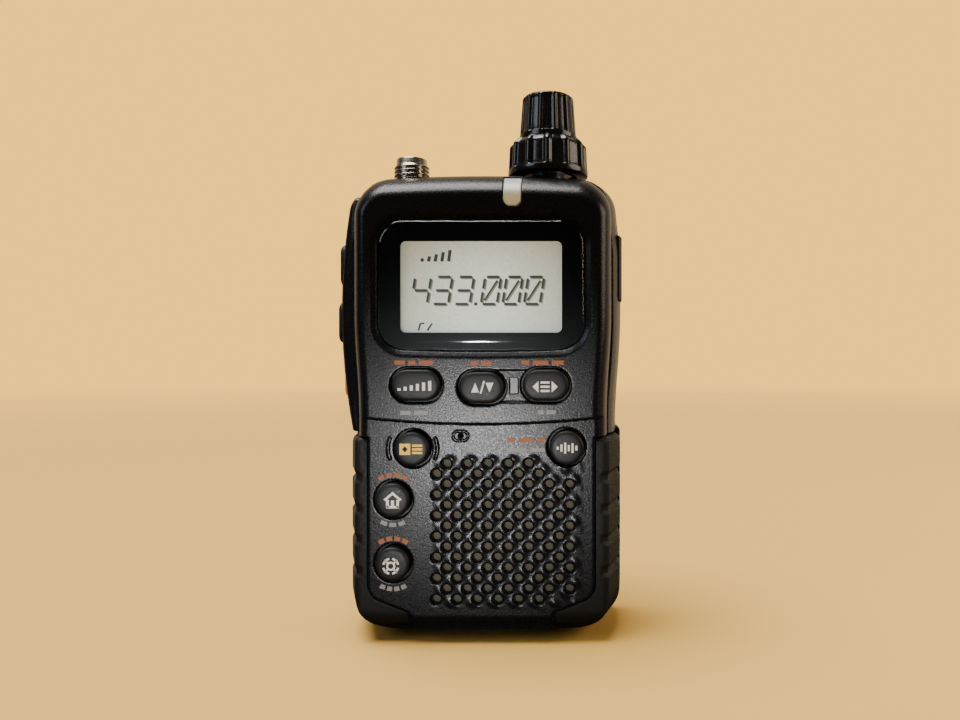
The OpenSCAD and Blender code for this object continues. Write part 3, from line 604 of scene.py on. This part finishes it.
def make_display():
    back = -box_mm("lens_mask")[0][1] + 0.05
    steps = [(0.02, back), (0, back + 0.1), (0, 10.42), (0.05, 10.62), (0.18, 10.8), (0.42, 10.94),
             (0.8, 11.04), (1.4, 11.1), (2.4, 11.14), (4.2, 11.17), (7, 11.185), (10.2, 11.19)]
    rings = [at_depth(window_ring(inset), h) for inset, h in steps]
    loft("window_lens", rings, LENS, "case", ["display_lens"])
    depth = -box_mm("lcd_glass")[0][1]
    shapes = []
    places = [-12.0, -8.4, -4.75, -0.15, 3.5, 7.15]
    for x, glyph in zip(places, "433000"):
        shapes += digit(x, 57.6, glyph)
    shapes.append(block(-1.0, 57.6, 0.55, 0.55))
    for i in range(5):
        shapes.append(bar(-10.2 + 1.15 * i, 64.8, -9.95 + 1.15 * i, 65.3 + 0.36 * i, 0.55))
    shapes += [bar(-10.7, 53.1, -10.4, 54.3, 0.32), bar(-10.4, 54.3, -9.7, 54.3, 0.28)]
    shapes.append(bar(-9.2, 53.1, -8.4, 54.3, 0.32))
    flat("lcd_segments", shapes, depth + 0.005, depth + 0.045, SEGMENT_INK, "case")
    # Painted shadow: grey copies of the figures, set off a little right and down on the glass under them,
    # stand in for the shadow the figures cast.
    painted_segment_shadows = []
    for x, glyph in zip(places, "433000"):
        painted_segment_shadows += [[(a + 0.22, b - 0.18) for a, b in shape] for shape in digit(x, 57.6, glyph)]
    flat("lcd_shadow", painted_segment_shadows, depth + 0.002, depth + 0.006, SEGMENT_SHADE, "case")


# ---------------------------------------------------------------- keys

def key_rings(outline, top, flange_h, stem_end):
    """Rings from the stem to the slightly domed top; outline(None) is the stem, outline(grow) the key."""
    steps = [(0, flange_h), (0, top - 0.62), (-0.05, top - 0.4), (-0.16, top - 0.22), (-0.36, top - 0.1),
             (-0.75, top - 0.04), (-1.4, top - 0.01), (-2.1, top)]
    rings = [at_depth(outline(None), stem_end), at_depth(outline(None), flange_h - 0.4)]
    rings += [at_depth(outline(0.6), flange_h - 0.4), at_depth(outline(0.6), flange_h)]
    return rings + [at_depth(outline(g), h) for g, h in steps]


def level_bars(x, z, n=6):
    return [block(x + i * 1.02, z + 0.2 + 0.12 * i, 0.5, 0.4 + 0.24 * i) for i in range(n)]


def make_cap(name, outline, flange_h, inset):
    """The cap's top lies a little inside the box of its CAD node."""
    top = -box_mm(name)[0][1] - inset
    loft(name + "_cap", key_rings(outline, top, flange_h, STEM_END), KEY_BLACK, name + "_body", [name],
         sharp=35)


def make_keys():
    for name, w in PILL_KEYS.items():
        cx, _, cz = middle(name)

        def outline(grow, cx=cx, cz=cz, w=w):
            if grow is None:
                return stadium(cx, cz, 2.4, 2.4)
            return stadium(cx, cz, w + 2 * grow, PILL_H + 2 * grow)

        make_cap(name, outline, 9.1, 0.06)
    for name in ROUND_KEYS:
        cx, _, cz = middle(name)

        def outline(grow, cx=cx, cz=cz):
            r = 1.2 if grow is None else ROUND_D / 2 + grow
            return arc(cx, cz, r, 0, 354.375, 63)

        make_cap(name, outline, 8.3, 0.05)


def make_key_marks():
    """Generic pictograms, raised a little above the tops of the keys."""
    left = level_bars(-13.5, 43.0)
    flat("left_mark", left, *PILL_MARK, LEGEND_WHITE, "key_left_body")
    up = [[(-1.5, 42.7), (-0.2, 42.7), (-0.85, 44.3)], [(0.9, 44.3), (2.2, 44.3), (1.55, 42.7)],
          bar(0.05, 42.5, 0.65, 44.6, 0.28)]
    flat("middle_mark", up, *PILL_MARK, LEGEND_WHITE, "key_middle_body")
    swap = [[(8.7, 43.65), (9.7, 44.6), (9.7, 42.7)], [(12.9, 43.65), (11.9, 44.6), (11.9, 42.7)]]
    swap += [block(10.8, 44.35, 1.5, 0.36), block(10.8, 43.65, 1.5, 0.36), block(10.8, 42.95, 1.5, 0.36)]
    flat("right_mark", swap, *PILL_MARK, LEGEND_WHITE, "key_right_body")
    lines = [block(-10.55, z, 1.7, 0.38) for z in (33.8, 33.2, 32.6)]
    flat("function_mark", [block(-12.6, 33.2, 1.8, 1.85)] + lines,
         *ROUND_MARK, LEGEND_YELLOW, "key_function_body")
    flat("function_slot", [block(-12.6, 33.2, 0.9, 0.4), block(-12.6, 33.2, 0.4, 0.9)],
         10.9, 10.985, KEY_BLACK, "key_function_body")
    heights = (0.5, 1.2, 1.8, 1.0, 1.6, 0.8)
    wave = [block(12.9 + 0.62 * i, 33.4, 0.34, height) for i, height in enumerate(heights)]
    flat("mode_mark", wave, *ROUND_MARK, LEGEND_WHITE, "key_mode_body")
    house = [[(-16.2, 25.0), (-14.65, 26.3), (-13.1, 25.0), (-13.5, 24.8), (-14.65, 25.8), (-15.8, 24.8)],
             block(-15.5, 24.3, 0.45, 1.3), block(-13.8, 24.3, 0.45, 1.3),
             block(-14.65, 23.75, 2.1, 0.4), block(-14.65, 24.4, 0.5, 0.9)]
    house = [[(x, z - 0.2) for x, z in shape] for shape in house]
    flat("home_mark", house, *ROUND_MARK, LEGEND_WHITE, "key_home_body")
    cx, cz = -14.95, 13.7
    ringed = [band(cx, cz, 1.25, start + 12, start + 78, 0.34) for start in (0, 90, 180, 270)]
    ringed += [band(cx, cz, 0.6, 0, 360, 0.3)]
    ringed += [bar(cx + 0.75 * c, cz + 0.75 * d, cx + 1.5 * c, cz + 1.5 * d, 0.3)
               for c, d in ((0.7, 0.7), (-0.7, 0.7), (0.7, -0.7), (-0.7, -0.7))]
    flat("link_mark", ringed, *ROUND_MARK, LEGEND_WHITE, "key_link_body")


# ---------------------------------------------------------------- printed marks

def dashes(x0, x1, z0, z1, pattern):
    """A row of plain blocks between x0 and x1: the pattern gives the length of each block and gap in turn."""
    total = sum(pattern)
    shapes, x = [], x0
    for i, part in enumerate(pattern):
        w = (x1 - x0) * part / total
        if i % 2 == 0:
            shapes.append(block(x + w / 2, (z0 + z1) / 2, w, z1 - z0))
        x += w
    return shapes


def arc_dashes(cx, cz, r, start, end, w, n):
    step = (end - start) / n
    return [band(cx, cz, r, start + step * (i + 0.14), start + step * (i + 0.86), w) for i in range(n)]


def make_prints():
    upper = FRONT + 0.012
    lower = GRILLE + 0.02
    orange = dashes(-14.4, -8.0, 47.3, 48.0, (3, 1, 2, 1, 4)) + dashes(-1.7, 1.8, 47.2, 47.9, (2, 1, 3))
    orange += dashes(6.8, 13.9, 47.3, 48.0, (2, 1, 4, 1, 3))
    flat("orange_upper", orange, upper - 0.1, upper, PRINT_ORANGE, "case")
    grey = dashes(-13.4, -8.8, 38.9, 39.6, (3, 1, 4)) + dashes(-1.1, 1.8, 38.8, 39.5, (3, 1, 2))
    grey += dashes(9.6, 12.5, 39.0, 39.7, (2, 1, 3))
    flat("grey_upper", grey, upper - 0.1, upper, PRINT_GREY, "case")
    lines = dashes(4.4, 10.7, 34.3, 34.95, (2, 1, 4, 1, 2))
    flat("orange_line", lines, lower - 0.1, lower, PRINT_ORANGE, "case")
    flat("grey_line", dashes(4.4, 10.7, 32.65, 33.3, (4, 1, 3)), lower - 0.1, lower, PRINT_GREY, "case")
    over = arc_dashes(-14.8, 24.6, 4.15, 52, 128, 0.75, 4) + arc_dashes(-14.8, 13.9, 4.15, 52, 128, 0.75, 4)
    flat("orange_arcs", over, lower - 0.1, lower, PRINT_ORANGE, "case")
    under = arc_dashes(-14.8, 24.6, 4.25, -122, -60, 0.7, 3)
    under += arc_dashes(-14.8, 13.9, 4.35, -122, -58, 0.75, 4)
    flat("grey_arcs", under, lower - 0.1, lower, PRINT_GREY, "case")


# ---------------------------------------------------------------- grips

GRIP_OUTLINE = (
    [(SKIRT_HALF + 0.05, -2)]
    + [(24.4 - 10 + 10 * math.sin(math.radians(a)), 8.1 - 8 * math.cos(math.radians(a)))
       for a in range(0, 91, 9)]
    + [(24.5, 20), (24.5, GRIP_TOP - 2.0)] + arc(22.7, GRIP_TOP - 1.85, 1.8, 0, 90, 6)
    + [(17.5, GRIP_TOP), (17.5, 9), (SKIRT_HALF + 0.05, 9)]
)


def notches(z):
    """Scallops in the outer edge, 5.3 mm apart."""
    depth = 0
    for centre in (28.2, 22.85, 17.65, 12.3):
        depth = depth + 1 - smooth(0.35, 1.05, np.abs(z - centre))
    return depth


def grip_field(x, y, z):
    h = -y
    notch = notches(z)
    side = outline_field(GRIP_OUTLINE, x, z)
    flank = ((x - 21.75) * 8.2 + (8.2 - h) * -2.75) / 8.65
    ribs = 0.55 * notch * smooth(9.2, 2, h) + 0.22 * notch
    outer = round_max(round_max(side, flank + ribs, 0.9), h - 9.25 + 0.35 * notch * smooth(20, 21, x), 0.9)
    outer = round_max(outer, x - 24.5 + 0.6 * notch, 0.7)
    outer = np.maximum(outer, round_max(flank, 0.1 - z, 8.5))
    outer = round_max(outer, base_field(h, z) + 0.08, 1.6)
    outer = round_max(outer, -h - 2.95, 0.3)
    lip = np.maximum(outline_field(LIP_OUTLINE, x, z) - 0.08, LIP_DEPTH + 0.02 - h)
    waist = x - WAIST_HALF - 0.06 + 1.2 * smooth(5, 8.2, h)
    core = np.maximum(outline_field(CORE_OUTLINE, x, z) - 0.06, waist)
    return np.maximum(outer, -np.minimum(lip, np.maximum(core, h - LIP_DEPTH - 0.03)))


def make_grips():
    low, high = box_mm("grip_right")
    solid("grip_rubber_right", grip_field, low, high, 0.17, GRIP_BLACK, "case", ["grip_right"])
    low, high = box_mm("grip_left")
    solid("grip_rubber_left", lambda x, y, z: grip_field(-x, y, z), low, high, 0.17, GRIP_BLACK, "case",
          ["grip_left"])


# ---------------------------------------------------------------- dial and antenna jack

FLUTES = 12
THREAD_R = 3.175                 # a 1/4-36 thread
THREAD_PITCH = 25.4 / 36


def fluted(r, z, t, foot, top, count, depth, phase=0.0):
    """Wide shallow flutes between narrow ridges, which fade out at the foot and the top."""
    phi = abs(((t / (2 * math.pi) * count + phase) % 1) - 0.5) * 2
    cut = 1 - float(smooth(0.5, 0.92, phi))
    fade = float(smooth(foot, foot + 0.25, z))
    return r - depth * cut * fade


def make_dial():
    cx, cy, _ = middle("dial_skirt")
    foot, top = box_mm("dial_skirt")[0][2], box_mm("dial_skirt")[1][2]
    r = (box_mm("dial_skirt")[1][0] - box_mm("dial_skirt")[0][0]) / 2 - 0.02
    heights = [(r - 0.25, foot), (r - 0.06, foot + 0.1), (r, foot + 0.3), (r, foot + 0.95)]
    heights.append((r - 0.02, foot + 1.05))
    heights += [(r - 0.04, foot + 1.1 + 0.06 * i) for i in range(6)]
    heights += [(r - 0.1 - 0.2 * i / 8, foot + 1.5 + (top - foot - 2.7) * i / 8) for i in range(9)]
    heights += [(r - 0.5, top - 0.95), (r - 0.95, top - 0.5), (r - 1.4, top - 0.12), (r - 1.7, top)]
    profile = [(3.4, top - 2), (5.2, foot + 2.4), (5.2, foot)] + heights + [(3.4, top)]

    def skirt(radius, z, t):
        if radius < 5.3:
            return radius
        return fluted(radius, z, t, foot + 1.05, top, FLUTES, 0.55)

    turned("dial_skirt_shell", cx, cy, profile, GLOSS_BLACK, "dial", ["dial_skirt"],
           n=288, shape=skirt, sharp=38)
    low, high = box_mm("dial_cap")
    foot, top = top, high[2]
    r = 5.17
    heights = [(r, foot), (r, foot + 0.5), (r, foot + 0.75)]
    heights += [(r - 0.02, foot + 0.8 + 0.06 * i) for i in range(6)]
    heights += [(r - 0.05 - 0.42 * i / 8, foot + 1.2 + (top - foot - 2.1) * i / 8) for i in range(9)]
    heights += [(r - 0.47 - 0.95 * (1 - math.cos(a * 0.157)), top - 0.85 + 0.85 * math.sin(a * 0.157))
                for a in range(1, 11)]
    profile = [(1.52, low[2]), (3.28, low[2]), (3.28, foot)] + heights
    profile += [(0.02, top), (0.02, top - 2.9), (1.52, top - 2.9)]

    def cap(radius, z, t):
        if radius < 3.4:
            return radius
        depth = 0.34 * float(smooth(top, top - 1.2, z) if z > top - 1.2 else 1)
        return fluted(radius, z, t, foot + 0.75, top, FLUTES, depth, 0.5)

    turned("dial_cap_shell", cx, cy, profile, GLOSS_BLACK, "dial", ["dial_cap"],
           n=288, shape=cap, sharp=38)


def make_antenna_jack():
    cx, cy, _ = middle("antenna_jack")
    low, high = box_mm("antenna_jack")
    top = high[2]
    start, end = TOP, top - 1.3
    threads = [(THREAD_R, start + 0.06 * i) for i in range(int((end - start) / 0.06) + 1)]
    profile = [(2.3, low[2]), (2.75, low[2]), (2.75, 77.4), (4, 77.4), (4, 78.6), (2.75, 78.6)]
    profile += [(2.75, start)] + threads
    profile += [(2.78, end + 0.1), (2.72, end + 0.2), (2.72, top - 0.22), (2.6, top - 0.06)]
    profile += [(2.45, top), (2.36, top - 0.03), (2.3, top - 0.15)]

    def thread(radius, z, t):
        if radius != THREAD_R:
            return radius
        wave = abs(((z / THREAD_PITCH - t / (2 * math.pi)) % 1) - 0.5) * 2
        fade = min(1, (z - start) / 0.15, (end - z) / 0.1)
        return THREAD_R - 0.34 * float(smooth(0.12, 0.9, wave)) * max(fade, 0) - 0.3 * (1 - max(fade, 0))

    turned("antenna_thread", cx, cy, profile, NICKEL, "case", ["antenna_jack"],
           n=96, shape=thread, sharp=60)


# ---------------------------------------------------------------- rear case

REAR_LOW, REAR_HIGH = box_mm("rear_case")
HALF = REAR_HIGH[0]
BACK = REAR_HIGH[1]
SEAM_REAR = REAR_LOW[1]
PLATFORM_X = REAR_LOW[0]
KEY_Y = 2.0
SIDE_KEYS = ("ptt_button", "monitor_button", "power_button")
HINGE_Y, HINGE_Z = 10.6, 60.6     # axis of the battery cover
SCREWS = ((-18.9, 8.2), (18.9, 8.2), (-17.6, 73.6), (17.6, 73.6))


def platform_field(x, y, z):
    bow = np.maximum(np.hypot(x - PLATFORM_X - 102, z - 57) - 102, x + 20)
    flank = np.abs(y - KEY_Y) - 4.4 + 0.42 * np.maximum(-x - 23.6, 0)
    body = round_max(bow, flank, 1.0)
    return round_max(np.maximum(body, 35.4 - z), z - 77.3 + np.maximum(-x - 23.2, 0) * 0.8, 1.2)


def rear_form(x, y, z):
    half = HALF - smooth(56, 36, z) - 0.9 * smooth(66, 77, z)
    spread = np.interp(y, (-4.6, -2, 1.4, 4), (1.9, 0.9, 0.15, 0))
    side = np.abs(x) - half + spread
    top = z - TOP + 0.5 * (x / 16) ** 2 + 0.35 * smooth(-1.4, 4.7, -y)
    upper = round_max(side, top, 4.5)
    upper = np.maximum(rounded_face(upper, y - BACK, 3.4, 2.8), GRIP_TOP + 0.05 - z)
    foot = round_max(np.abs(x) - HALF + 0.1, -z, 8)
    lower = rounded_face(round_max(foot, z - GRIP_TOP - 1, 1.0), y - BACK, 3.4, 2.8)
    lower = round_max(lower, 3.0 - y, 0.3)
    core = np.maximum(outline_field(CORE_OUTLINE, x, z), np.maximum(base_field(-y, z), y - 4))
    return np.minimum(np.minimum(upper, lower), np.maximum(core, z - GRIP_TOP - 2))


def rear_field(x, y, z):
    form = rear_form(x, y, z)
    outer = round_min(form, platform_field(x, y, z), 0.5)
    cuts = np.maximum(form + WALL, y - 2)
    upper = np.maximum(round_box(x, z, 0, 70.2, 39.6, 18, 3), y - (BACK - 1.6))
    bay = np.maximum(round_box(x, z, 0, 31.4, 32.8, 56.4, 2), 3.2 - y)
    solid_part = np.maximum(outer, -np.minimum(np.minimum(cuts, upper), bay))
    seat = np.maximum(round_box(x, z, 0, 31.2, 34.4, 59, 2.4), 10.1 - y)
    solid_part = round_max(solid_part, -seat, 0.25)
    groove = np.maximum(np.maximum(np.abs(x) - 17.2, np.abs(z - HINGE_Z) - 1.4), 10.5 - y)
    barrel = np.maximum(np.hypot(y - HINGE_Y, z - HINGE_Z) - 0.9, np.abs(x) - 17.2)
    catch = np.maximum(np.maximum(np.abs(x) - 4, np.abs(z - 2.4) - 2), 9.0 - y)
    solid_part = np.maximum(solid_part, -np.minimum(np.minimum(groove, barrel), catch))
    for cx, cz in SCREWS:
        solid_part = round_max(solid_part, -np.maximum(disc(x, z, cx, cz, 1.6), 8.6 - y), 0.25)
    for name in SIDE_KEYS:
        low, high = box_mm(name)
        cz = (low[2] + high[2]) / 2
        tall = high[2] - low[2] - 2 * (KEY_GAP / 2 + 0.3) + KEY_GAP
        well = np.maximum(round_box(y, z, KEY_Y, cz, 5.4 + KEY_GAP, tall, 1.7), x + 20)
        solid_part = round_max(solid_part, -well, 0.2)
    pocket = np.maximum(np.maximum(np.abs(x + 20.9) - 1.9, np.abs(y - KEY_Y) - 3.6), np.abs(z - 55) - 16)
    jack, dial = middle("antenna_jack"), middle("dial_cap")
    ports = np.minimum(np.hypot(x - jack[0], y) - 3.225, np.hypot(x - dial[0], y) - 3.05)
    ports = np.maximum(ports, 76 - z)
    solid_part = np.maximum(solid_part, -np.minimum(pocket, ports))
    low, high = box_mm("jack_cover")
    seat = np.maximum(np.maximum(round_box(y, z, 2.4, 64.7, 8.2, 11.6, 0.8), high[0] - 1.7 - x), -x)
    solid_part = round_max(solid_part, -seat, 0.2)
    pin = np.maximum(np.hypot(x - 23.9, y - 5.5) - 0.46, np.abs(z - 64.7) - 6.9)
    audio = np.maximum(np.hypot(y - 1.9, z - 67.2) - 2.6, 8.5 - x)
    bores = np.minimum(audio, np.maximum(np.hypot(y - 1.9, z - 62) - 2.4, 12.5 - x))
    strap = np.maximum(np.maximum(x + 19.6, 6.6 - y), np.abs(z - 69) - 3)
    solid_part = np.maximum(solid_part, -np.minimum(pin, bores))
    return np.maximum(round_max(solid_part, -strap, 0.3), SEAM_REAR - y)


def cover_field(x, y, z):
    panel = round_box(x, z, 0, 31.25, 34, 58.7, 2.2)
    body = round_max(np.maximum(panel, 10.2 - y), y - BACK, 0.4)
    barrel = np.maximum(np.hypot(y - HINGE_Y, z - HINGE_Z) - 0.8, np.abs(x) - 17)
    pin = np.maximum(np.hypot(y - HINGE_Y, z - HINGE_Z) - 0.5, np.abs(x) - 18.1)
    body = np.minimum(np.minimum(body, barrel), pin)
    for cz in range(14, 55, 5):
        body = round_max(body, -np.maximum(slot_shape(x, z, 0, cz, 26, 1.6), BACK - 0.4 - y), 0.15)
    body = np.maximum(body, -np.maximum(np.maximum(np.abs(x) - 3.7, np.abs(z - 5.2) - 1.95), 9 - y))
    return round_max(body, -np.maximum(round_box(x, z, 0, 5.3, 10.6, 5.5, 0.3), BACK - 0.65 - y), 0.1)


def make_rear():
    solid("rear_shell", rear_field, REAR_LOW, REAR_HIGH, 0.24, CASE_BLACK, "case", ["rear_case"],
          0.02)
    low, high = box_mm("battery_cover")
    solid("cover_shell", cover_field, low, high, 0.2, CASE_BLACK, "cover", ["battery_cover"],
          0.02)


def make_side_keys():
    """Rubber keys whose rims are round and whose faces carry a shallow dish."""
    for name in SIDE_KEYS:
        low, high = box_mm(name)
        cz = (low[2] + high[2]) / 2
        tall = high[2] - low[2] - 2 * (KEY_GAP / 2 + 0.3)
        mat = KEY_ORANGE if name == "power_button" else KEY_BLACK

        def ring(x, grow, tall=tall, cz=cz):
            corner = max(1.6 + min(grow, 0), 0.1)
            outline = round_outline(KEY_Y, cz, 5.4 + 2 * grow, tall + 2 * grow, corner, 8)
            return [(x, y, z) for y, z in outline]

        face, flange = low[0], KEY_GAP / 2 + 0.3
        rings = [ring(face + 0.1, -1.5), ring(face + 0.02, -1.0), ring(face + 0.03, -0.7),
                 ring(face + 0.12, -0.4), ring(face + 0.3, -0.15), ring(face + 0.6, 0), ring(-22.6, 0),
                 ring(-22.6, flange), ring(-22.3, flange), ring(-22.3, -1.5), ring(high[0], -1.5)]
        loft(name + "_rubber", rings, mat, name + "_body", [name], sharp=35)


# ---------------------------------------------------------------- stage, camera and lights

BACKDROP = (2.1, 1.13, 0.17, 1)


def make_floor():
    """A pale sheet that fades out with distance, so that it meets the backdrop softly."""
    paper = grain(material("floor_pale", (0.8, 0.48, 0.1), 0.9), 0.4, 0.25, 0.2 * MM)
    tree = paper.node_tree
    place = add(paper, "ShaderNodeTexCoord")
    reach = add(paper, "ShaderNodeVectorMath", operation="LENGTH")
    link(paper, place, "Object", reach, 0)
    fade = add(paper, "ShaderNodeMapRange")
    fade.interpolation_type = "SMOOTHSTEP"
    fade.inputs["From Min"].default_value = 0.25
    fade.inputs["From Max"].default_value = 1.5
    link(paper, reach, "Value", fade, "Value")
    clear = add(paper, "ShaderNodeBsdfTransparent")
    mix = add(paper, "ShaderNodeMixShader")
    tree.links.new(fade.outputs["Result"], mix.inputs[0])
    tree.links.new(tree.nodes["Principled BSDF"].outputs[0], mix.inputs[1])
    tree.links.new(clear.outputs[0], mix.inputs[2])
    tree.links.new(mix.outputs[0], tree.nodes["Material Output"].inputs["Surface"])
    size = 4.0
    corners = [(-size, -size, 0), (size, -size, 0), (size, size, 0), (-size, size, 0)]
    floor = new_object("floor", corners, [(0, 1, 2, 3)], paper)
    floor.visible_glossy = False


def make_world():
    """Warm light from behind the object and dim light elsewhere; the camera sees a plain backdrop."""
    world = bpy.data.worlds.new("studio")
    bpy.context.scene.world = world
    world.use_nodes = True
    nodes, links = world.node_tree.nodes, world.node_tree.links
    dim = nodes["Background"]
    dim.inputs["Color"].default_value = (0.85, 0.87, 0.95, 1)
    dim.inputs["Strength"].default_value = 0.02
    glow = nodes.new("ShaderNodeBackground")
    glow.inputs["Color"].default_value = (1, 0.74, 0.45, 1)
    glow.inputs["Strength"].default_value = 0.9
    place = nodes.new("ShaderNodeTexCoord")
    split = nodes.new("ShaderNodeSeparateXYZ")
    behind = nodes.new("ShaderNodeMapRange")
    behind.interpolation_type = "SMOOTHSTEP"
    behind.inputs["From Min"].default_value = 0.1
    behind.inputs["From Max"].default_value = 1.0
    links.new(place.outputs["Generated"], split.inputs[0])
    links.new(split.outputs["Y"], behind.inputs["Value"])
    level = nodes.new("ShaderNodeMapRange")
    level.interpolation_type = "SMOOTHSTEP"
    level.inputs["From Min"].default_value = -0.4
    level.inputs["From Max"].default_value = -0.1
    links.new(split.outputs["Z"], level.inputs["Value"])
    both = nodes.new("ShaderNodeMath")
    both.operation = "MULTIPLY"
    links.new(behind.outputs["Result"], both.inputs[0])
    links.new(level.outputs["Result"], both.inputs[1])
    around = nodes.new("ShaderNodeMixShader")
    links.new(both.outputs[0], around.inputs[0])
    links.new(dim.outputs[0], around.inputs[1])
    links.new(glow.outputs[0], around.inputs[2])
    seen = nodes.new("ShaderNodeBackground")
    seen.inputs["Color"].default_value = BACKDROP
    seen.inputs["Strength"].default_value = 1.0
    path = nodes.new("ShaderNodeLightPath")
    mix = nodes.new("ShaderNodeMixShader")
    links.new(path.outputs["Is Camera Ray"], mix.inputs[0])
    links.new(around.outputs[0], mix.inputs[1])
    links.new(seen.outputs[0], mix.inputs[2])
    links.new(mix.outputs[0], nodes["World Output"].inputs["Surface"])


def area_light(name, place, target, size, energy, color=(1, 1, 1)):
    data = bpy.data.lights.new(name, "AREA")
    data.shape = "DISK"
    data.size = size
    data.energy = energy
    data.color = color
    lamp = bpy.data.objects.new(name, data)
    bpy.context.scene.collection.objects.link(lamp)
    lamp.location = [v * MM for v in place]
    aim = np.array(target, float) - np.array(place, float)
    lamp.rotation_euler = Vector(aim).to_track_quat("-Z", "Y").to_euler()
    return lamp


def make_lights():
    sun = bpy.data.lights.new("sky_soft", "SUN")
    sun.energy = 5.0
    sun.angle = math.radians(40)
    sun.color = (1, 0.97, 0.93)
    lamp = bpy.data.objects.new("sky_soft", sun)
    lamp.rotation_euler = (math.radians(4), math.radians(-14), 0)
    bpy.context.scene.collection.objects.link(lamp)
    spot = bpy.data.lights.new("near_front", "SPOT")
    spot.energy = 1.35
    spot.spot_size = math.radians(20.5)
    spot.spot_blend = 1
    spot.shadow_soft_size = 0.007
    lamp = bpy.data.objects.new("near_front", spot)
    bpy.context.scene.collection.objects.link(lamp)
    lamp.location = [v * MM for v in (-26, -230, 11)]
    lamp.rotation_euler = Vector((24, 220, 19)).to_track_quat("-Z", "Y").to_euler()
    area_light("left_soft", (-330, -260, 260), (0, 0, 45), 0.2, 0.35, (0.8, 0.9, 1))
    area_light("right_soft", (420, -40, 200), (0, 0, 45), 0.3, 0.9, (1, 0.85, 0.65))


IMAGE_WIDTH = 960
FOCAL_PX = 746.7
SHIFT_PX = -81.3
CAMERA_AT = (13.5, -135.5, 48.1)


def make_camera():
    data = bpy.data.cameras.new("camera")
    data.sensor_width = 36
    data.lens = FOCAL_PX * 36 / IMAGE_WIDTH
    data.clip_start = 0.005
    data.shift_x = SHIFT_PX / IMAGE_WIDTH
    camera = bpy.data.objects.new("camera", data)
    camera.location = [v * MM for v in CAMERA_AT]
    camera.rotation_euler = (math.radians(90), 0, 0)
    bpy.context.scene.collection.objects.link(camera)
    bpy.context.scene.camera = camera


def finish_plain_nodes():
    """Inner parts keep their CAD shape and get a finish and softened edges."""
    steel = grain(material("steel", (0.55, 0.55, 0.56), 0.3, 1.0), 4.0, 0.1, 0.01 * MM, 2, (0.22, 0.4))
    gold = grain(material("gold", (0.75, 0.55, 0.22), 0.25, 1.0), 4.0, 0.1, 0.01 * MM, 2, (0.2, 0.35))
    board = grain(material("board", (0.02, 0.11, 0.05), 0.4), 2.0, 0.2, 0.02 * MM, 4, (0.3, 0.5))
    cloth = grain(material("cloth", (0.1, 0.1, 0.075), 0.9), 3.2, 0.9, 0.08 * MM, 4, (0.8, 0.95))
    rubber = grain(material("inner_rubber", (0.03, 0.03, 0.032), 0.6), 4.0, 0.3, 0.03 * MM, 3, (0.5, 0.75))
    plastic = grain(material("pale_plastic", (0.6, 0.58, 0.52), 0.5), 3.0, 0.1, 0.02 * MM, 3, (0.4, 0.6))
    diffuser = grain(material("diffuser", (0.8, 0.8, 0.78), 0.5), 2.0, 0.1, 0.02 * MM)
    pink = grain(material("elastomer", (0.7, 0.25, 0.3), 0.6), 3.0, 0.2, 0.02 * MM)
    paper = grain(material("cone_paper", (0.03, 0.03, 0.028), 0.85), 2.0, 0.6, 0.05 * MM, 4)
    wrap = grain(material("battery_wrap", (0.035, 0.04, 0.06), 0.4), 1.0, 0.15, 0.03 * MM, 3, (0.3, 0.5))
    silver = grain(material("port_silver", (0.13, 0.135, 0.145), 0.4, 0.2), 4.0, 0.15, 0.02 * MM)
    finishes = {
        # The LCD glass gets the material with the painted glow.
        "lens_mask": MASK_BLACK, "lcd_glass": LCD_PAINTED_GLOW, "lcd_backlight": diffuser, "lcd_holder": plastic,
        "lcd_connector": pink, "status_led": diffuser, "microphone_screen": silver, "microphone": steel,
        "speaker_cloth": cloth, "speaker_frame": steel, "speaker_cone": paper, "speaker_magnet": steel,
        "key_mat": rubber, "key_domes": steel, "main_board": board, "radio_board": board, "shield_can": steel,
        "board_connector": plastic, "antenna_insulator": plastic, "antenna_contact": gold,
        "antenna_washer": steel,
        "encoder_body": steel, "encoder_nut": steel, "encoder_shaft": steel, "side_switch_board": board,
        "side_switches": rubber, "audio_jack": KEY_BLACK, "charging_jack": KEY_BLACK, "strap_post": steel,
        "battery_pack": wrap, "battery_contacts": gold, "cover_gasket": rubber, "battery_latch": KEY_BLACK,
        "jack_cover": GRIP_BLACK, "case_gasket": rubber, "case_screws": steel,
    }
    for node, mat in finishes.items():
        piece = bpy.data.objects[node]
        piece.data.materials.clear()
        piece.data.materials.append(mat)
        bevel = piece.modifiers.new("soft_edges", "BEVEL")
        bevel.width = 0.07 * MM
        bevel.segments = 2
        bevel.limit_method = "ANGLE"
        bevel.angle_limit = math.radians(40)
        bevel.harden_normals = True


make_camera()
make_floor()
make_world()
make_lights()
make_front_case()
make_display()
make_keys()
make_key_marks()
make_prints()
make_grips()
make_dial()
make_antenna_jack()
make_rear()
make_side_keys()
finish_plain_nodes()
